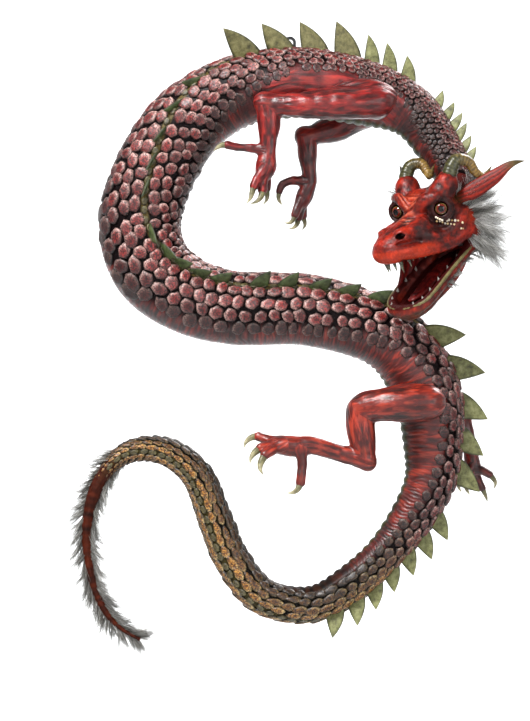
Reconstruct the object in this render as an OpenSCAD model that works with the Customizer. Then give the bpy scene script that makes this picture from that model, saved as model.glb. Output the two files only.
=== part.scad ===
// Jointed scaled dragon that hangs from a line eye: foam body sections on a hinged spine,
// four three-part legs, and a head with its own turn, nod and jaw.

/* [Spine] */
// How far each body section stays back from its hinge, as a share of the body radius
gap_share = 0.2; // [0.18:0.01:0.26]
// Knuckle radius of a spine hinge, as a share of the body radius
knuckle_share = 0.26; // [0.24:0.01:0.3]
// Half width of the spine strip, as a share of the body radius
strip_share = 0.22; // [0.18:0.01:0.26]
// Radial running clearance of every hinge pin and peg
pin_clearance = 0.06; // [0.02:0.01:0.1]
// Side clearance between hinge plates that turn past each other
plate_clearance = 0.15; // [0.12:0.01:0.25]

/* [Line eye] */
// Radius of the hole that takes the line
eye_hole_r = 1.5; // [1:0.1:2]
// Wall around the hole
eye_wall = 1.4; // [1.2:0.1:2]
// Thickness of the lug
eye_lug_w = 2; // [1.6:0.1:2.4]

/* [Legs] */
// Radius of the round leg root that turns in its recess in the body
root_r = 8.5; // [8:0.1:8.8]
// Radius of the peg at a leg root
root_peg_r = 1.6; // [1.3:0.1:1.9]
// Radius of the pegs at the elbows, knees, wrists and heels
limb_peg_r = 0.9; // [0.8:0.05:1.1]

/* [Fins] */
// Thickness of a back fin
fin_w = 1.1; // [0.8:0.1:1.6]
// Depth of a fin's root in the foam
fin_root = 2; // [1.5:0.1:2.5]

/* [Head] */
// Turn of the head about the upright, from facing right
head_yaw = -140; // [-143:1:-137]
// Downward pitch of the head
head_pitch = 15; // [13:1:17]
// How far the lower jaw is dropped from the line of the head
jaw_drop = 27; // [25:1:29]
// Radius of an eyeball
eyeball_r = 3.9; // [3.4:0.1:4.2]

/* [Hidden] */

// The body lies in a plane just in front of the line eye.
plane_y = -4.5;

// The spine, from the head to the tip of the tail: x, y, z, body radius, and the roll of the
// back from the outside of the curve towards the front.
SPINE = [
    [79.5, -12, -67.5, 9, 5], [70, -4.5, -50, 10.4, 5], [57, 0, -33, 12.3, 5],
    [34, 0, -24, 15.3, 2], [3, 0, -19.5, 16.3, 5], [-28, 0, -25, 16.8, 30],
    [-54, 0, -45, 18.6, 70], [-70.5, 0, -80, 19.2, 97], [-67, 0, -105, 18.8, 122],
    [-50, 0, -119.8, 17.8, 130], [-26, 0, -126.5, 17, 133], [10, 0, -127.8, 16.4, 134],
    [46, 0, -139.5, 15.8, 152], [63.5, 0, -163, 16.1, 176], [67.4, 0, -190, 13.8, 178],
    [64.5, 0, -212, 11.4, 175], [48, 0, -238, 9, 172], [30, 0, -255.5, 8.9, 165],
    [10, 0, -266, 8.4, 158], [-13, 0, -262, 8.5, 130], [-27.5, 0, -244.5, 8.1, 122],
    [-34.5, 0, -228, 7.9, 120], [-44, 0, -205, 7.1, 122], [-60, 0, -193.5, 6.2, 110],
    [-78, 0, -195, 4.7, 95], [-91, 0, -209.5, 3.4, 90], [-96.3, 0, -232, 2.4, 90],
    [-93, 0, -257, 1.9, 90], [-84, 0, -274, 1.5, 90], [-71, 0, -283, 1.1, 90]
];
// Where each section starts and ends, as places in SPINE; the inner ones are the hinges.
CUTS = [0, 2, 5, 7, 10, 12, 15, 18, 21, 24, 29];

// ---------- curves ----------
function clamp(v, low, high) = max(low, min(high, v));
function unit(v) = v / norm(v);
function pick(rows, i) = rows[clamp(i, 0, len(rows) - 1)];
function blend4(a, b, c, d, u) =
    0.5 * (2 * b + (c - a) * u + (2 * a - 5 * b + 4 * c - d) * u * u + (3 * b - a - 3 * c + d) * u * u * u);
function row_at(rows, t) =
    let (i = clamp(floor(t), 0, len(rows) - 2))
    blend4(pick(rows, i - 1), rows[i], rows[i + 1], pick(rows, i + 2), t - i);
function xyz(row) = [row[0], row[1], row[2]];
function place(rows, t) = xyz(row_at(rows, t));
function heading(rows, t) =
    unit(place(rows, min(t + 0.02, len(rows) - 1)) - place(rows, max(t - 0.02, 0)));
// Unit vectors across a curve: [outside of the bend, front]
function across(dir, ref) = let (side = unit(cross(dir, ref))) [side, cross(side, dir)];
FRONT = [0, -1, 0];

// A ring of points round a centre, squashed across the reference direction by flat.
function ring(centre, dir, r, sides, ref, flat = 1) =
    let (ax = across(dir, ref))
    [for (i = [0:sides - 1]) centre + r * (cos(i * 360 / sides) * ax[0] + flat * sin(i * 360 / sides) * ax[1])];

// A closed solid through a list of rings with equal numbers of points.
module loft(rings) {
    n = len(rings[0]);
    m = len(rings);
    points = [for (r = rings) for (p = r) p];
    sides = [for (k = [0:m - 2]) for (i = [0:n - 1])
        let (a = k * n + i, b = k * n + (i + 1) % n)
        each [[a, b, a + n], [b, b + n, a + n]]];
    caps = [[for (i = [n - 1:-1:0]) i], [for (i = [0:n - 1]) (m - 1) * n + i]];
    polyhedron(points, concat(sides, caps), convexity = 6);
}

// A rounded tube through rows of x, y, z, radius.
module tube(rows, sides = 8, steps = 2, ref = FRONT, flat = 1) {
    last = len(rows) - 1;
    middle = [for (i = [0:last * steps])
        let (t = i / steps, row = row_at(rows, t))
        ring(xyz(row), heading(rows, t), row[3], sides, ref, flat)];
    d0 = heading(rows, 0);
    d1 = heading(rows, last);
    first = ring(xyz(rows[0]) - d0 * rows[0][3] * 0.5, d0, rows[0][3] * 0.6, sides, ref, flat);
    final = ring(xyz(rows[last]) + d1 * rows[last][3] * 0.5, d1, rows[last][3] * 0.6, sides, ref, flat);
    loft(concat([first], middle, [final]));
}

// A tube that runs out to a point.
module spike(rows, sides = 8, steps = 2, ref = FRONT, flat = 1) {
    last = len(rows) - 1;
    loft([for (i = [0:last * steps])
        let (t = i / steps, row = row_at(rows, t))
        ring(xyz(row), heading(rows, t), row[3], sides, ref, flat)]);
}

// A cylinder along y, centred on a point.
module bar_y(centre, r, length) translate(centre) rotate([90, 0, 0]) cylinder(r = r, h = length, center = true, $fn = 48);
// A cylinder along y between two y values.
module bar_between(x, z, r, y0, y1) bar_y([x, (y0 + y1) / 2, z], r, abs(y1 - y0));

// ---------- spine hinges ----------
function hinge(j) = place(SPINE, CUTS[j]);
function hinge_body_r(j) = SPINE[CUTS[j]][3];
function knuckle_r(j) = clamp(knuckle_share * hinge_body_r(j), 1.9, 4.4);
function pin_r(j) = 0.36 * knuckle_r(j);
function tongue_w(j) = 0.8 * knuckle_r(j);
function fork_w(j) = tongue_w(j) + 2 * plate_clearance + 0.9 * knuckle_r(j);
function is_fork(k) = k % 2 == 1;
function plate_w(k, j) = is_fork(k) ? fork_w(j) : tongue_w(j);
function hinges_of(k) = [for (j = [k, k + 1]) if (j > 0 && j < 10) j];
function strip_w(k) = min([for (j = hinges_of(k)) plate_w(k, j)]);
// The last section's strip stops where the tail gets too thin to hold it.
function strip_end(k) = k == 9 ? 25.5 : CUTS[k + 1];

// The outside of a spine link: a strip along the curve and a knuckle at each hinge.
module spine_blank(k, grow = 0) {
    t0 = CUTS[k];
    t1 = strip_end(k);
    count = 8;
    edge = [for (i = [0:count])
        let (t = t0 + (t1 - t0) * i / count, row = row_at(SPINE, t), out = across(heading(SPINE, t), FRONT)[0])
        [xyz(row), out * (strip_share * row[3] + grow)]];
    outline = concat(
        [for (e = edge) [e[0][0] + e[1][0], e[0][2] + e[1][2]]],
        [for (i = [count:-1:0]) [edge[i][0][0] - edge[i][1][0], edge[i][0][2] - edge[i][1][2]]]
    );
    rotate([90, 0, 0]) linear_extrude(strip_w(k) + 2 * grow, center = true) polygon(outline);
    for (j = hinges_of(k)) bar_y(hinge(j), knuckle_r(j) + grow, plate_w(k, j) + 2 * grow);
}

module hinge_cuts(k) {
    for (j = hinges_of(k)) {
        bar_y(hinge(j), pin_r(j) + (is_fork(k) ? 0 : pin_clearance), 40);
        if (is_fork(k)) bar_y(hinge(j), knuckle_r(j) + 0.6, tongue_w(j) + 2 * plate_clearance);
    }
}

module spine_link(k) color("#3a3a3e") difference() {
    spine_blank(k);
    hinge_cuts(k);
}

module hinge_pins(k) color("#b9bcc0")
    for (j = hinges_of(k)) bar_y(hinge(j), pin_r(j), fork_w(j));

// ---------- leg roots ----------
SHOULDER = [40.7, 0, -30];
HIP = [65, 0, -170.5];
boss_r = 3.4;
boss_half = 7.5;
boss_bore_end = 2;
recess_floor = 7.2;
root_start = 7.8;

module leg_boss(at, grow = 0) bar_y(at, boss_r + grow, 2 * (boss_half + grow));
module leg_boss_bores(at) for (side = [-1, 1])
    bar_between(at[0], at[2], root_peg_r + pin_clearance, side * boss_bore_end, side * (boss_half + 1));
module leg_recesses(at) for (side = [-1, 1])
    bar_between(at[0], at[2], root_r + 0.35, side * recess_floor, side * 25);

// ---------- the line eye, which stands up from the chest spine behind the fins ----------
eye_r = eye_hole_r + eye_wall;
module line_eye_lug(grow = 0) translate([0, -plane_y, 0]) rotate([90, 0, 0])
    linear_extrude(eye_lug_w + 2 * grow, center = true) {
        circle(r = eye_r + grow, $fn = 48);
        translate([-eye_r - grow, -21]) square([2 * (eye_r + grow), 21]);
    }
// A foot that ties the lug to the strip.
module line_eye_foot(grow = 0) translate([0, -plane_y / 2, -19.5])
    cube([2 * eye_r + 2 * grow, -plane_y + eye_lug_w + 2 * grow, 5 + 2 * grow], center = true);

module chest_spine() color("#3a3a3e") difference() {
    union() {
        spine_blank(1);
        leg_boss(SHOULDER);
        line_eye_lug();
        line_eye_foot();
    }
    hinge_cuts(1);
    leg_boss_bores(SHOULDER);
    bar_y([0, -plane_y, 0], eye_hole_r, 10);
}

module hips_spine() color("#3a3a3e") difference() {
    union() {
        spine_blank(5);
        leg_boss(HIP);
    }
    hinge_cuts(5);
    leg_boss_bores(HIP);
}

// The neck's link ends in a rod that leans forward, and a stem that the head turns on.
NECK_END = SPINE[0];
stem_r = 1.5;
module rod(from, to, r) {
    along = to - from;
    translate(from) rotate([0, acos(along[2] / norm(along)), atan2(along[1], along[0])])
        cylinder(r = r, h = norm(along), $fn = 32);
}
// It leaves the knuckle square to the pin, and leans forward once it is clear of the fork.
module neck_rod(r) {
    bend = hinge(1) + [5.2, 0, -5.8];
    rod(hinge(1), bend, r);
    translate(bend) sphere(r = r + 0.25, $fn = 32);
    rod(bend, xyz(NECK_END) + 7 * head_axis(2), r);
}
module neck_spine() color("#3a3a3e") difference() {
    union() {
        bar_y(hinge(1), knuckle_r(1), tongue_w(1));
        neck_rod(1.2);
        head_frame_at(xyz(NECK_END)) {
            translate([0, 0, 5.2]) cylinder(r = 3, h = 4, $fn = 32);
            translate([0, 0, -3.4]) cylinder(r = stem_r, h = 10, $fn = 32);
        }
    }
    bar_y(hinge(1), pin_r(1) + pin_clearance, 40);
}

// ---------- soft body sections ----------
body_sides = 16;
module body_sweep(k) {
    t0 = CUTS[k];
    t1 = CUTS[k + 1];
    count = ceil(2.5 * (t1 - t0));
    start_gap = k == 0 ? 4 : gap_share * hinge_body_r(k) / 2 + 0.15;
    end_gap = k == 9 ? 0 : gap_share * hinge_body_r(k + 1) / 2 + 0.15;
    d0 = heading(SPINE, t0);
    d1 = heading(SPINE, t1);
    inner = [for (i = [1:count - 1])
        let (t = t0 + (t1 - t0) * i / count)
        ring(place(SPINE, t), heading(SPINE, t), row_at(SPINE, t)[3], body_sides, FRONT)];
    first = ring(place(SPINE, t0) + d0 * start_gap, d0, SPINE[t0][3], body_sides, FRONT);
    final = ring(place(SPINE, t1) - d1 * end_gap, d1, SPINE[t1][3], body_sides, FRONT);
    loft(concat([first], inner, [final]));
}

module hinge_pockets(k) for (j = hinges_of(k)) bar_y(hinge(j), knuckle_r(j) + 1.1, fork_w(j) + 0.8);

module body_section(k, tone = "#7a1512") color(tone) difference() {
    body_sweep(k);
    spine_blank(k, 0.02);
    hinge_pockets(k);
}

module neck_body() color("#7a1512") difference() {
    body_sweep(0);
    bar_y(hinge(1), knuckle_r(1) + 1.1, fork_w(1) + 0.8);
    neck_rod(1.22);
    head_frame_at(xyz(NECK_END)) {
        translate([0, 0, 5.1]) cylinder(r = 3.02, h = 4.12, $fn = 32);
        translate([0, 0, -8]) cylinder(r = 6.6, h = 13.2, $fn = 32);
    }
}

module chest_body() color("#8c1815") difference() {
    body_sweep(1);
    spine_blank(1, 0.02);
    hinge_pockets(1);
    leg_boss(SHOULDER, 0.02);
    leg_recesses(SHOULDER);
    line_eye_lug(0.02);
    line_eye_foot(0.02);
}

module hips_body() color("#8c1815") difference() {
    body_sweep(5);
    spine_blank(5, 0.02);
    hinge_pockets(5);
    leg_boss(HIP, 0.02);
    leg_recesses(HIP);
}

// ---------- back fins ----------
// A fin leans towards the tail: a bowed front edge and a nearly straight back edge.
module fin_shape(base, height) {
    polygon(concat(
        [[-base / 2, -fin_root], [-base / 2, 0]],
        [for (u = [0.25:0.25:1]) [-base / 2 + base * (u * 0.6 + 0.55 * u * u), height * (u + 0.35 * u * (1 - u))]],
        [[base / 2 + 0.12 * base, height * 0.42], [base / 2, 0], [base / 2, -fin_root]]
    ));
}

// Fins from one place on the spine to another; height is a share of the body radius.
module fin_row(t0, t1, count, height) {
    step = (t1 - t0) / count;
    for (i = [0:count - 1]) {
        t = t0 + step * (i + 0.5);
        row = row_at(SPINE, t);
        dir = heading(SPINE, t);
        ax = across(dir, FRONT);
        up = cos(row[4]) * ax[0] + sin(row[4]) * ax[1];
        side = cross(dir, up);
        base = 0.86 * norm(place(SPINE, t + step / 2) - place(SPINE, t - step / 2));
        tall = height * (1 + 0.14 * sin(i * 137));
        foot = xyz(row) + up * (row[3] - 0.25);
        multmatrix([
            [dir[0], up[0], -side[0], foot[0]],
            [dir[1], up[1], -side[1], foot[1]],
            [dir[2], up[2], -side[2], foot[2]],
            [0, 0, 0, 1]
        ]) mirror([0, 0, 1]) linear_extrude(fin_w, center = true) fin_shape(base, tall);
    }
}
fin_tone = "#7c7a48";
module neck_fins() color(fin_tone) fin_row(0.35, 1.85, 6, 7);
module chest_fins() color(fin_tone) {
    fin_row(2.15, 3.1, 3, 11);
    fin_row(3.1, 4.85, 4, 14.5);
}
module back_fins() color(fin_tone) fin_row(5.15, 6.85, 5, 8);
module belly_fins() color(fin_tone) fin_row(7.15, 9.85, 5, 8);
module waist_fins() color(fin_tone) fin_row(10.15, 11.85, 5, 9);
module hips_fins() color(fin_tone) fin_row(12.2, 14.85, 5, 14);
module tail_base_fins() color(fin_tone) fin_row(15.15, 17.85, 7, 9);

// ---------- legs ----------
// How far from a limb hinge the two parts stay in their own halves, as a share of its radius
lap_reach = 1.9;
// A limb hinge is a lap joint about y. The upper part keeps the outer half and the lower part
// the inner half, with its peg. side is -1 on the front side of the body and 1 behind it.
module lap_outer_cut(c, r, side) bar_between(c[0], c[2], lap_reach * r, c[1] + side * plate_clearance, c[1] - side * 12);
module lap_inner_cut(c, r, side) bar_between(c[0], c[2], lap_reach * r, c[1] - side * plate_clearance, c[1] + side * 12);
module lap_outer(c, r, side) bar_between(c[0], c[2], r, c[1] + side * plate_clearance, c[1] + side * 0.9 * r);
module lap_inner(c, r, side) bar_between(c[0], c[2], r, c[1] - side * plate_clearance, c[1] - side * 0.9 * r);
module lap_peg(c, r, side) bar_between(c[0], c[2], limb_peg_r, c[1] - side * plate_clearance, c[1] + side * 0.7 * r);
module lap_bore(c, r, side) bar_between(c[0], c[2], limb_peg_r + pin_clearance, c[1], c[1] + side * (0.7 * r + 0.3));

// The part next to the body: round root, peg, and a lap joint at the far end.
module upper_limb(root, rows, joint_r, side) color("#9c2417") {
    end = xyz(rows[len(rows) - 1]);
    difference() {
        union() {
            difference() {
                tube(rows, 12, 2);
                lap_outer_cut(end, joint_r, side);
            }
            bar_between(root[0], root[2], root_r, side * root_start, side * 19);
            bar_between(root[0], root[2], root_peg_r, side * (boss_bore_end + 0.5), side * (root_start + 1));
            lap_outer(end, joint_r, side);
        }
        lap_bore(end, joint_r, side);
    }
}

module lower_limb(rows, start_r, end_r, side) color("#a02818") {
    start = xyz(rows[0]);
    end = xyz(rows[len(rows) - 1]);
    difference() {
        union() {
            difference() {
                tube(rows, 10, 2);
                lap_inner_cut(start, start_r, side);
                lap_outer_cut(end, end_r, side);
            }
            lap_inner(start, start_r, side);
            lap_peg(start, start_r, side);
            lap_outer(end, end_r, side);
        }
        lap_bore(end, end_r, side);
    }
}

// A foot: a palm from the wrist or heel, and its toes.
module foot(palm, toes, start_r, side) color("#a02818") {
    start = xyz(palm[0]);
    union() {
        difference() {
            union() {
                tube(palm, 10, 2);
                for (toe = toes) tube(toe, 8, 2);
            }
            lap_inner_cut(start, start_r, side);
        }
        lap_inner(start, start_r, side);
        lap_peg(start, start_r, side);
    }
}

// A claw carries on from each toe and hooks round.
module claws(tips) color("#a9a071") for (tip = tips) spike(tip, 8, 2);

// Each leg's rows are x, y, z, radius; a part's last row is the next part's first.
NF_UPPER = [[40.7, -20, -30, 6.8], [28, -24.4, -31, 6.2], [8, -25, -31.5, 5.6], [-11, -22.5, -31, 4.2]];
NF_LOWER = [[-11, -22.5, -31, 3.9], [-10.3, -22.5, -42, 4.1], [-10.5, -22.5, -53, 3.3]];
NF_PALM = [[-10.5, -22.5, -53, 3.3], [-11.5, -22.5, -59, 3.9], [-12.5, -22.5, -63.5, 3.2]];
NF_TOES = [
    [[-11, -22.5, -52.5, 2.6], [-18, -23, -51.5, 1.9], [-25, -23.5, -51, 1.6], [-29.5, -24, -50, 1.5]],
    [[-13, -24.5, -62, 2.2], [-15.5, -26.5, -66, 1.8], [-17, -27.5, -69.5, 1.6]],
    [[-12, -23, -62, 2.3], [-12.8, -23.5, -67, 1.9], [-13, -24.5, -71, 1.7]],
    [[-11.5, -20.5, -62, 2.1], [-11, -19.5, -67, 1.7], [-11.2, -20, -70.5, 1.5]]
];
NF_CLAWS = [
    [[-31.2, -24.2, -49.8, 1.3], [-34, -24.7, -51.2, 0.7], [-35.6, -25, -52.8, 0.1]],
    [[-17.5, -28.1, -71, 1.2], [-18.2, -29.5, -74.5, 0.8], [-20.4, -30, -77.5, 0.1]],
    [[-13.3, -25.1, -72.7, 1.3], [-15, -27, -76, 0.8], [-19, -27.5, -77.8, 0.1]],
    [[-11.2, -20.3, -72, 1.2], [-10.6, -22, -75, 0.8], [-12.6, -23, -78, 0.1]]
];

FF_UPPER = [[40.7, 20, -30, 6.6], [30, 23.5, -36, 5.8], [20, 23, -40.5, 5.2], [8, 21.5, -43.5, 3.8]];
FF_LOWER = [[8, 21.5, -43.5, 3.5], [8.6, 21, -54, 3.6], [9.8, 21, -65, 2.8]];
FF_PALM = [[9.8, 21, -65, 2.8], [7.5, 21, -71, 3.4], [5.5, 21, -76, 2.8]];
FF_TOES = [
    [[9, 21, -65.5, 2.2], [2, 20.5, -65, 1.7], [-3.5, 20, -66.5, 1.5], [-5, 20, -70, 1.3]],
    [[4.8, 19, -75, 1.9], [3.4, 17.5, -78.5, 1.6], [2.4, 17, -81.5, 1.4]],
    [[5.2, 21, -75, 2], [4.6, 21.2, -79.5, 1.7], [4.2, 21.5, -82.5, 1.5]],
    [[6, 23, -75, 1.9], [6.2, 24.5, -78.5, 1.6], [6.4, 25, -81.5, 1.4]]
];
FF_CLAWS = [
    [[-5.1, 20, -71.7, 1], [-5, 20, -74, 0.7], [-3.6, 20, -76.3, 0.1]],
    [[2, 16.6, -83, 1.1], [0.6, 15.4, -84.8, 0.7], [-2.4, 15, -85, 0.1]],
    [[3.8, 21.5, -84.2, 1.1], [2.6, 21, -86.6, 0.7], [-0.6, 20.5, -88, 0.1]],
    [[6.6, 25.2, -83.2, 1.1], [7.6, 24.8, -85.5, 0.7], [6, 24.5, -88, 0.1]]
];

NH_UPPER = [[65, -20.5, -170.5, 7], [54, -21.5, -171, 6.8], [44, -20.5, -171.5, 7], [31.5, -18, -172.5, 4.2]];
NH_LOWER = [[31.5, -18, -172.5, 4], [34, -18, -185, 5.4], [34.8, -18, -197, 3.4]];
NH_PALM = [
    [34.8, -18, -197, 3.4], [22, -18, -193.4, 3.6], [10, -18, -190.4, 3.9],
    [1, -18, -191.2, 4.2], [-8, -18, -190, 3.2]
];
NH_TOES = [
    [[-6, -17, -189, 2.3], [-11, -16, -188, 1.9], [-15, -15, -186.5, 1.7]],
    [[-7, -19, -190.5, 2.3], [-11, -21, -191, 1.9], [-14, -22.5, -191.8, 1.8]],
    [[-5, -20, -191, 2.3], [-9, -24, -193, 1.9], [-12, -26, -195, 1.8]],
    [[5, -19, -193, 2.6], [5.6, -19.5, -199, 2], [5.2, -20, -204, 1.9], [4.8, -20.4, -208, 1.8]]
];
NH_CLAWS = [
    [[-17, -14.8, -187, 1.5], [-20, -15.4, -188.6, 0.9], [-21.6, -16, -191.8, 0.1]],
    [[-15.6, -23.4, -193.2, 1.5], [-18, -24.4, -195.4, 1], [-18.8, -25, -199, 0.1]],
    [[-12.8, -26.9, -196.8, 1.6], [-14.2, -28.2, -200.2, 1.1], [-12.8, -29, -204, 0.1]],
    [[4.1, -20.6, -210, 1.4], [2, -21, -212.4, 0.9], [-1.6, -21, -212.6, 0.1]]
];

FH_UPPER = [[65, 20.5, -170.5, 6.8], [70, 21.5, -171.6, 6.6], [76, 21, -173.6, 5.6], [81.5, 19, -176, 3.7]];
FH_LOWER = [[81.5, 19, -176, 3.4], [84.5, 19, -186, 3.6], [86.5, 19, -196, 2.4]];
FH_PALM = [[86.5, 19, -196, 2.4], [87.4, 19, -200, 2.9], [88, 19, -203, 2.6]];
FH_TOES = [
    [[88, 18, -202.5, 2], [92, 17, -203.4, 1.6], [95.6, 16.5, -205.4, 1.4]],
    [[88, 20, -203, 1.9], [90, 21, -207.5, 1.5], [92.2, 21.5, -212, 1.3]],
    [[87, 20.5, -202, 1.9], [83.6, 22, -205, 1.5], [81.4, 22.5, -208, 1.3]],
    [[86.6, 17.6, -202, 1.8], [84.4, 15.6, -205.6, 1.5], [84, 14.6, -209, 1.3]]
];
FH_CLAWS = [
    [[97, 16.2, -206.6, 1.1], [98, 15.8, -209, 0.7], [97.4, 15.6, -212, 0.1]],
    [[92.9, 21.6, -213.6, 1], [94, 21.6, -215.8, 0.7], [94.6, 21.4, -218.4, 0.1]],
    [[80.9, 22.8, -209.6, 1], [81, 23, -211.6, 0.7], [82.2, 23, -213.8, 0.1]],
    [[84, 14.2, -210.6, 1], [84.6, 13.8, -212.8, 0.7], [86, 13.6, -214.8, 0.1]]
];

elbow_r = 3.9;
wrist_r = 3.1;
knee_r = 4.6;
heel_r = 3.7;
far_elbow_r = 3.6;
far_wrist_r = 2.8;
far_knee_r = 3.7;
far_ankle_r = 2.6;

// ---------- head ----------
// In the head's own frame, x is forward, y is its left and z its crown; the origin is midway
// between the eyes.
HEAD = [61.3, -26, -80.5];
function head_axis(i) =
    let (a = head_yaw, p = head_pitch)
    [[cos(a) * cos(p), sin(a) * cos(p), -sin(p)], [-sin(a), cos(a), 0], [cos(a) * sin(p), sin(a) * sin(p), cos(p)]][i];
module head_frame_at(origin) translate(origin) rotate([0, head_pitch, head_yaw]) children();
module head_frame() head_frame_at(HEAD) children();
// The neck's end in the head's frame.
function in_head(p) = let (d = p - HEAD) [d * head_axis(0), d * head_axis(1), d * head_axis(2)];
NAPE = in_head(xyz(NECK_END));
JAW_HINGE = [-15, 0, -20];
yoke_half = 3.2;
trunnion_r = 1.3;

module head_yoke() color("#3a3a3e") head_frame() translate(NAPE) difference() {
    union() {
        translate([-yoke_half, -yoke_half, -yoke_half]) cube(2 * yoke_half);
        rotate([90, 0, 0]) cylinder(r = trunnion_r, h = 2 * (yoke_half + 2.2), center = true, $fn = 32);
    }
    translate([0, 0, -yoke_half - 1]) cylinder(r = stem_r + pin_clearance, h = 2 * yoke_half + 2, $fn = 32);
}

// Stations along the head: x, half width, half height, height of the centre.
SKULL = [
    [-15.5, 8, 8, -6], [-13.5, 12, 11, -5], [-8, 14.6, 13.6, -3.4], [0, 14.6, 12.4, -3.2], [7, 12, 9.6, -5],
    [14, 9.8, 8, -9], [22, 9, 6.4, -11], [28, 8.2, 4.8, -12.2], [31.5, 5, 2.8, -12.4]
];
skull_sides = 16;
module skull_shell() loft([for (s = SKULL)
    [for (i = [0:skull_sides - 1]) let (a = -i * 360 / skull_sides) [s[0], s[1] * cos(a), s[3] + s[2] * sin(a)]]]);
lug_gap = yoke_half + 0.3;
module nape_lugs() for (side = [-1, 1]) hull() {
    translate([NAPE[0], NAPE[1] + side * (lug_gap + 0.8), NAPE[2]])
        rotate([90, 0, 0]) cylinder(r = 3, h = 1.6, center = true, $fn = 24);
    translate([-12.5, NAPE[1] + side * (lug_gap + 0.8), 0]) cube([3, 1.6, 7], center = true);
}
cheek_in = 10;
cheek_w = 1.8;
module cheek_lugs() for (side = [-1, 1]) hull() {
    translate([JAW_HINGE[0], side * (cheek_in + cheek_w / 2), JAW_HINGE[2]])
        rotate([90, 0, 0]) cylinder(r = 3.4, h = cheek_w, center = true, $fn = 24);
    translate([-9, side * (cheek_in + cheek_w / 2), -9]) cube([9, cheek_w, 4], center = true);
}
eye_place = [1.5, 11.6, 0.4];
module eye_balls(r) for (side = [-1, 1]) translate([eye_place[0], side * eye_place[1], eye_place[2]]) sphere(r = r, $fn = 40);

module skull() color("#a82617") head_frame() difference() {
    union() {
        skull_shell();
        nape_lugs();
        cheek_lugs();
    }
    eye_balls(eyeball_r);
    translate([NAPE[0], NAPE[1], NAPE[2]]) rotate([90, 0, 0])
        cylinder(r = trunnion_r + pin_clearance, h = 20, center = true, $fn = 32);
    translate(JAW_HINGE) rotate([90, 0, 0]) cylinder(r = jaw_pin_r, h = 40, center = true, $fn = 32);
}
module eyes() color("#1c0d08") head_frame() eye_balls(eyeball_r);

jaw_pin_r = 1.2;
module jaw_pin() color("#b9bcc0") head_frame() translate(JAW_HINGE) rotate([90, 0, 0])
    cylinder(r = jaw_pin_r, h = 2 * (cheek_in + cheek_w), center = true, $fn = 32);

// The lower jaw in its own frame: x runs from the hinge to the chin.
module jaw_frame() head_frame() translate(JAW_HINGE) rotate([0, jaw_drop, 0]) children();
// Stations: x, half width, height of the rim above the keel, height of the keel.
JAW = [
    [-2.5, 9.2, 6, -3], [6, 10.2, 6.5, -4], [16, 11.2, 6, -4.2], [28, 12, 5.4, -3.8],
    [37, 11.4, 4.4, -2.8], [41.5, 8, 3, -1.6]
];
jaw_wall = 1.6;
module jaw_outside() loft([for (s = JAW) let (w = s[1], h = s[2], z = s[3]) [
    [s[0], -w, z + h], [s[0], w, z + h], [s[0], w - 0.5, z + 2.6],
    [s[0], w - 3.5, z], [s[0], -w + 3.5, z], [s[0], -w + 0.5, z + 2.6]
]]);
module jaw_trough() loft([for (s = JAW)
    let (x = s[0] < 0 ? 4.5 : min(s[0], 39.6), w = s[1] - jaw_wall, low = s[3] + jaw_wall)
    [[x, -w, s[3] + s[2] + 2], [x, w, s[3] + s[2] + 2], [x, w - 0.6, low + 1.6], [x, w - 2.6, low],
     [x, -w + 2.6, low], [x, -w + 0.6, low + 1.6]]]);
module lower_jaw() color("#8a1a14") jaw_frame() difference() {
    union() {
        difference() {
            jaw_outside();
            jaw_trough();
        }
        rotate([90, 0, 0]) cylinder(r = 2.8, h = 2 * (cheek_in - 0.3), center = true, $fn = 32);
    }
    rotate([90, 0, 0]) cylinder(r = jaw_pin_r + pin_clearance, h = 60, center = true, $fn = 32);
}

module tongue() color("#6d0f12") jaw_frame()
    tube([[7, 0, -0.4, 2.2], [14, 0, 0.2, 2.6], [22, 0, 0.8, 2.4], [29, 0, 2, 1.6]], 10, 2, [0, 0, 1], 0.6);

// Fangs at the front of the upper lip and smaller teeth along both jaws.
module tooth(at, r, length, up) translate(at) rotate([0, up ? 0 : 180, 0])
    cylinder(r1 = r, r2 = 0.2, h = length, $fn = 16);
module upper_teeth() color("#3c4038") head_frame() for (side = [-1, 1]) {
    for (i = [0:1]) tooth([26.5 - 4 * i, side * (3.2 + 2.2 * i), -15.4], 1, 5.6 - i, false);
    for (i = [0:3]) tooth([17.5 - 4.2 * i, side * (6.4 + 0.5 * i), -14.6], 0.8, 3, false);
}
module lower_teeth() color("#b7ab8e") jaw_frame() for (side = [-1, 1], i = [0:5])
    tooth([12 + 4.6 * i, side * (9.6 + 0.7 * sin(30 * i)), 1.2], 0.8, 3.2, true);

// Horns rise from the brow, curl back and down, and turn up again at the point. The right one
// is spread a little wider, to stay clear of the neck.
module horns() color("#6a6638") head_frame() {
    spike([
        [-8, 12.6, 9.5, 3.6], [-10, 13.8, 16, 3.4], [-13.5, 15.6, 20.2, 3], [-18.5, 17.8, 18, 2.5],
        [-21, 18.6, 12.6, 2.1], [-25, 19.4, 9.8, 1.5], [-30, 20.4, 13.2, 0.2]
    ], 10, 2, [0, 0, 1]);
    spike([
        [-8, -12.6, 9.5, 3.6], [-10, -14.2, 16, 3.4], [-13, -17, 20.4, 3], [-17.5, -20, 18.4, 2.5],
        [-20.5, -20.6, 12.8, 2.1], [-24.5, -21, 9.8, 1.5], [-29.5, -21.8, 13, 0.2]
    ], 10, 2, [0, 0, 1]);
}

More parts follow.
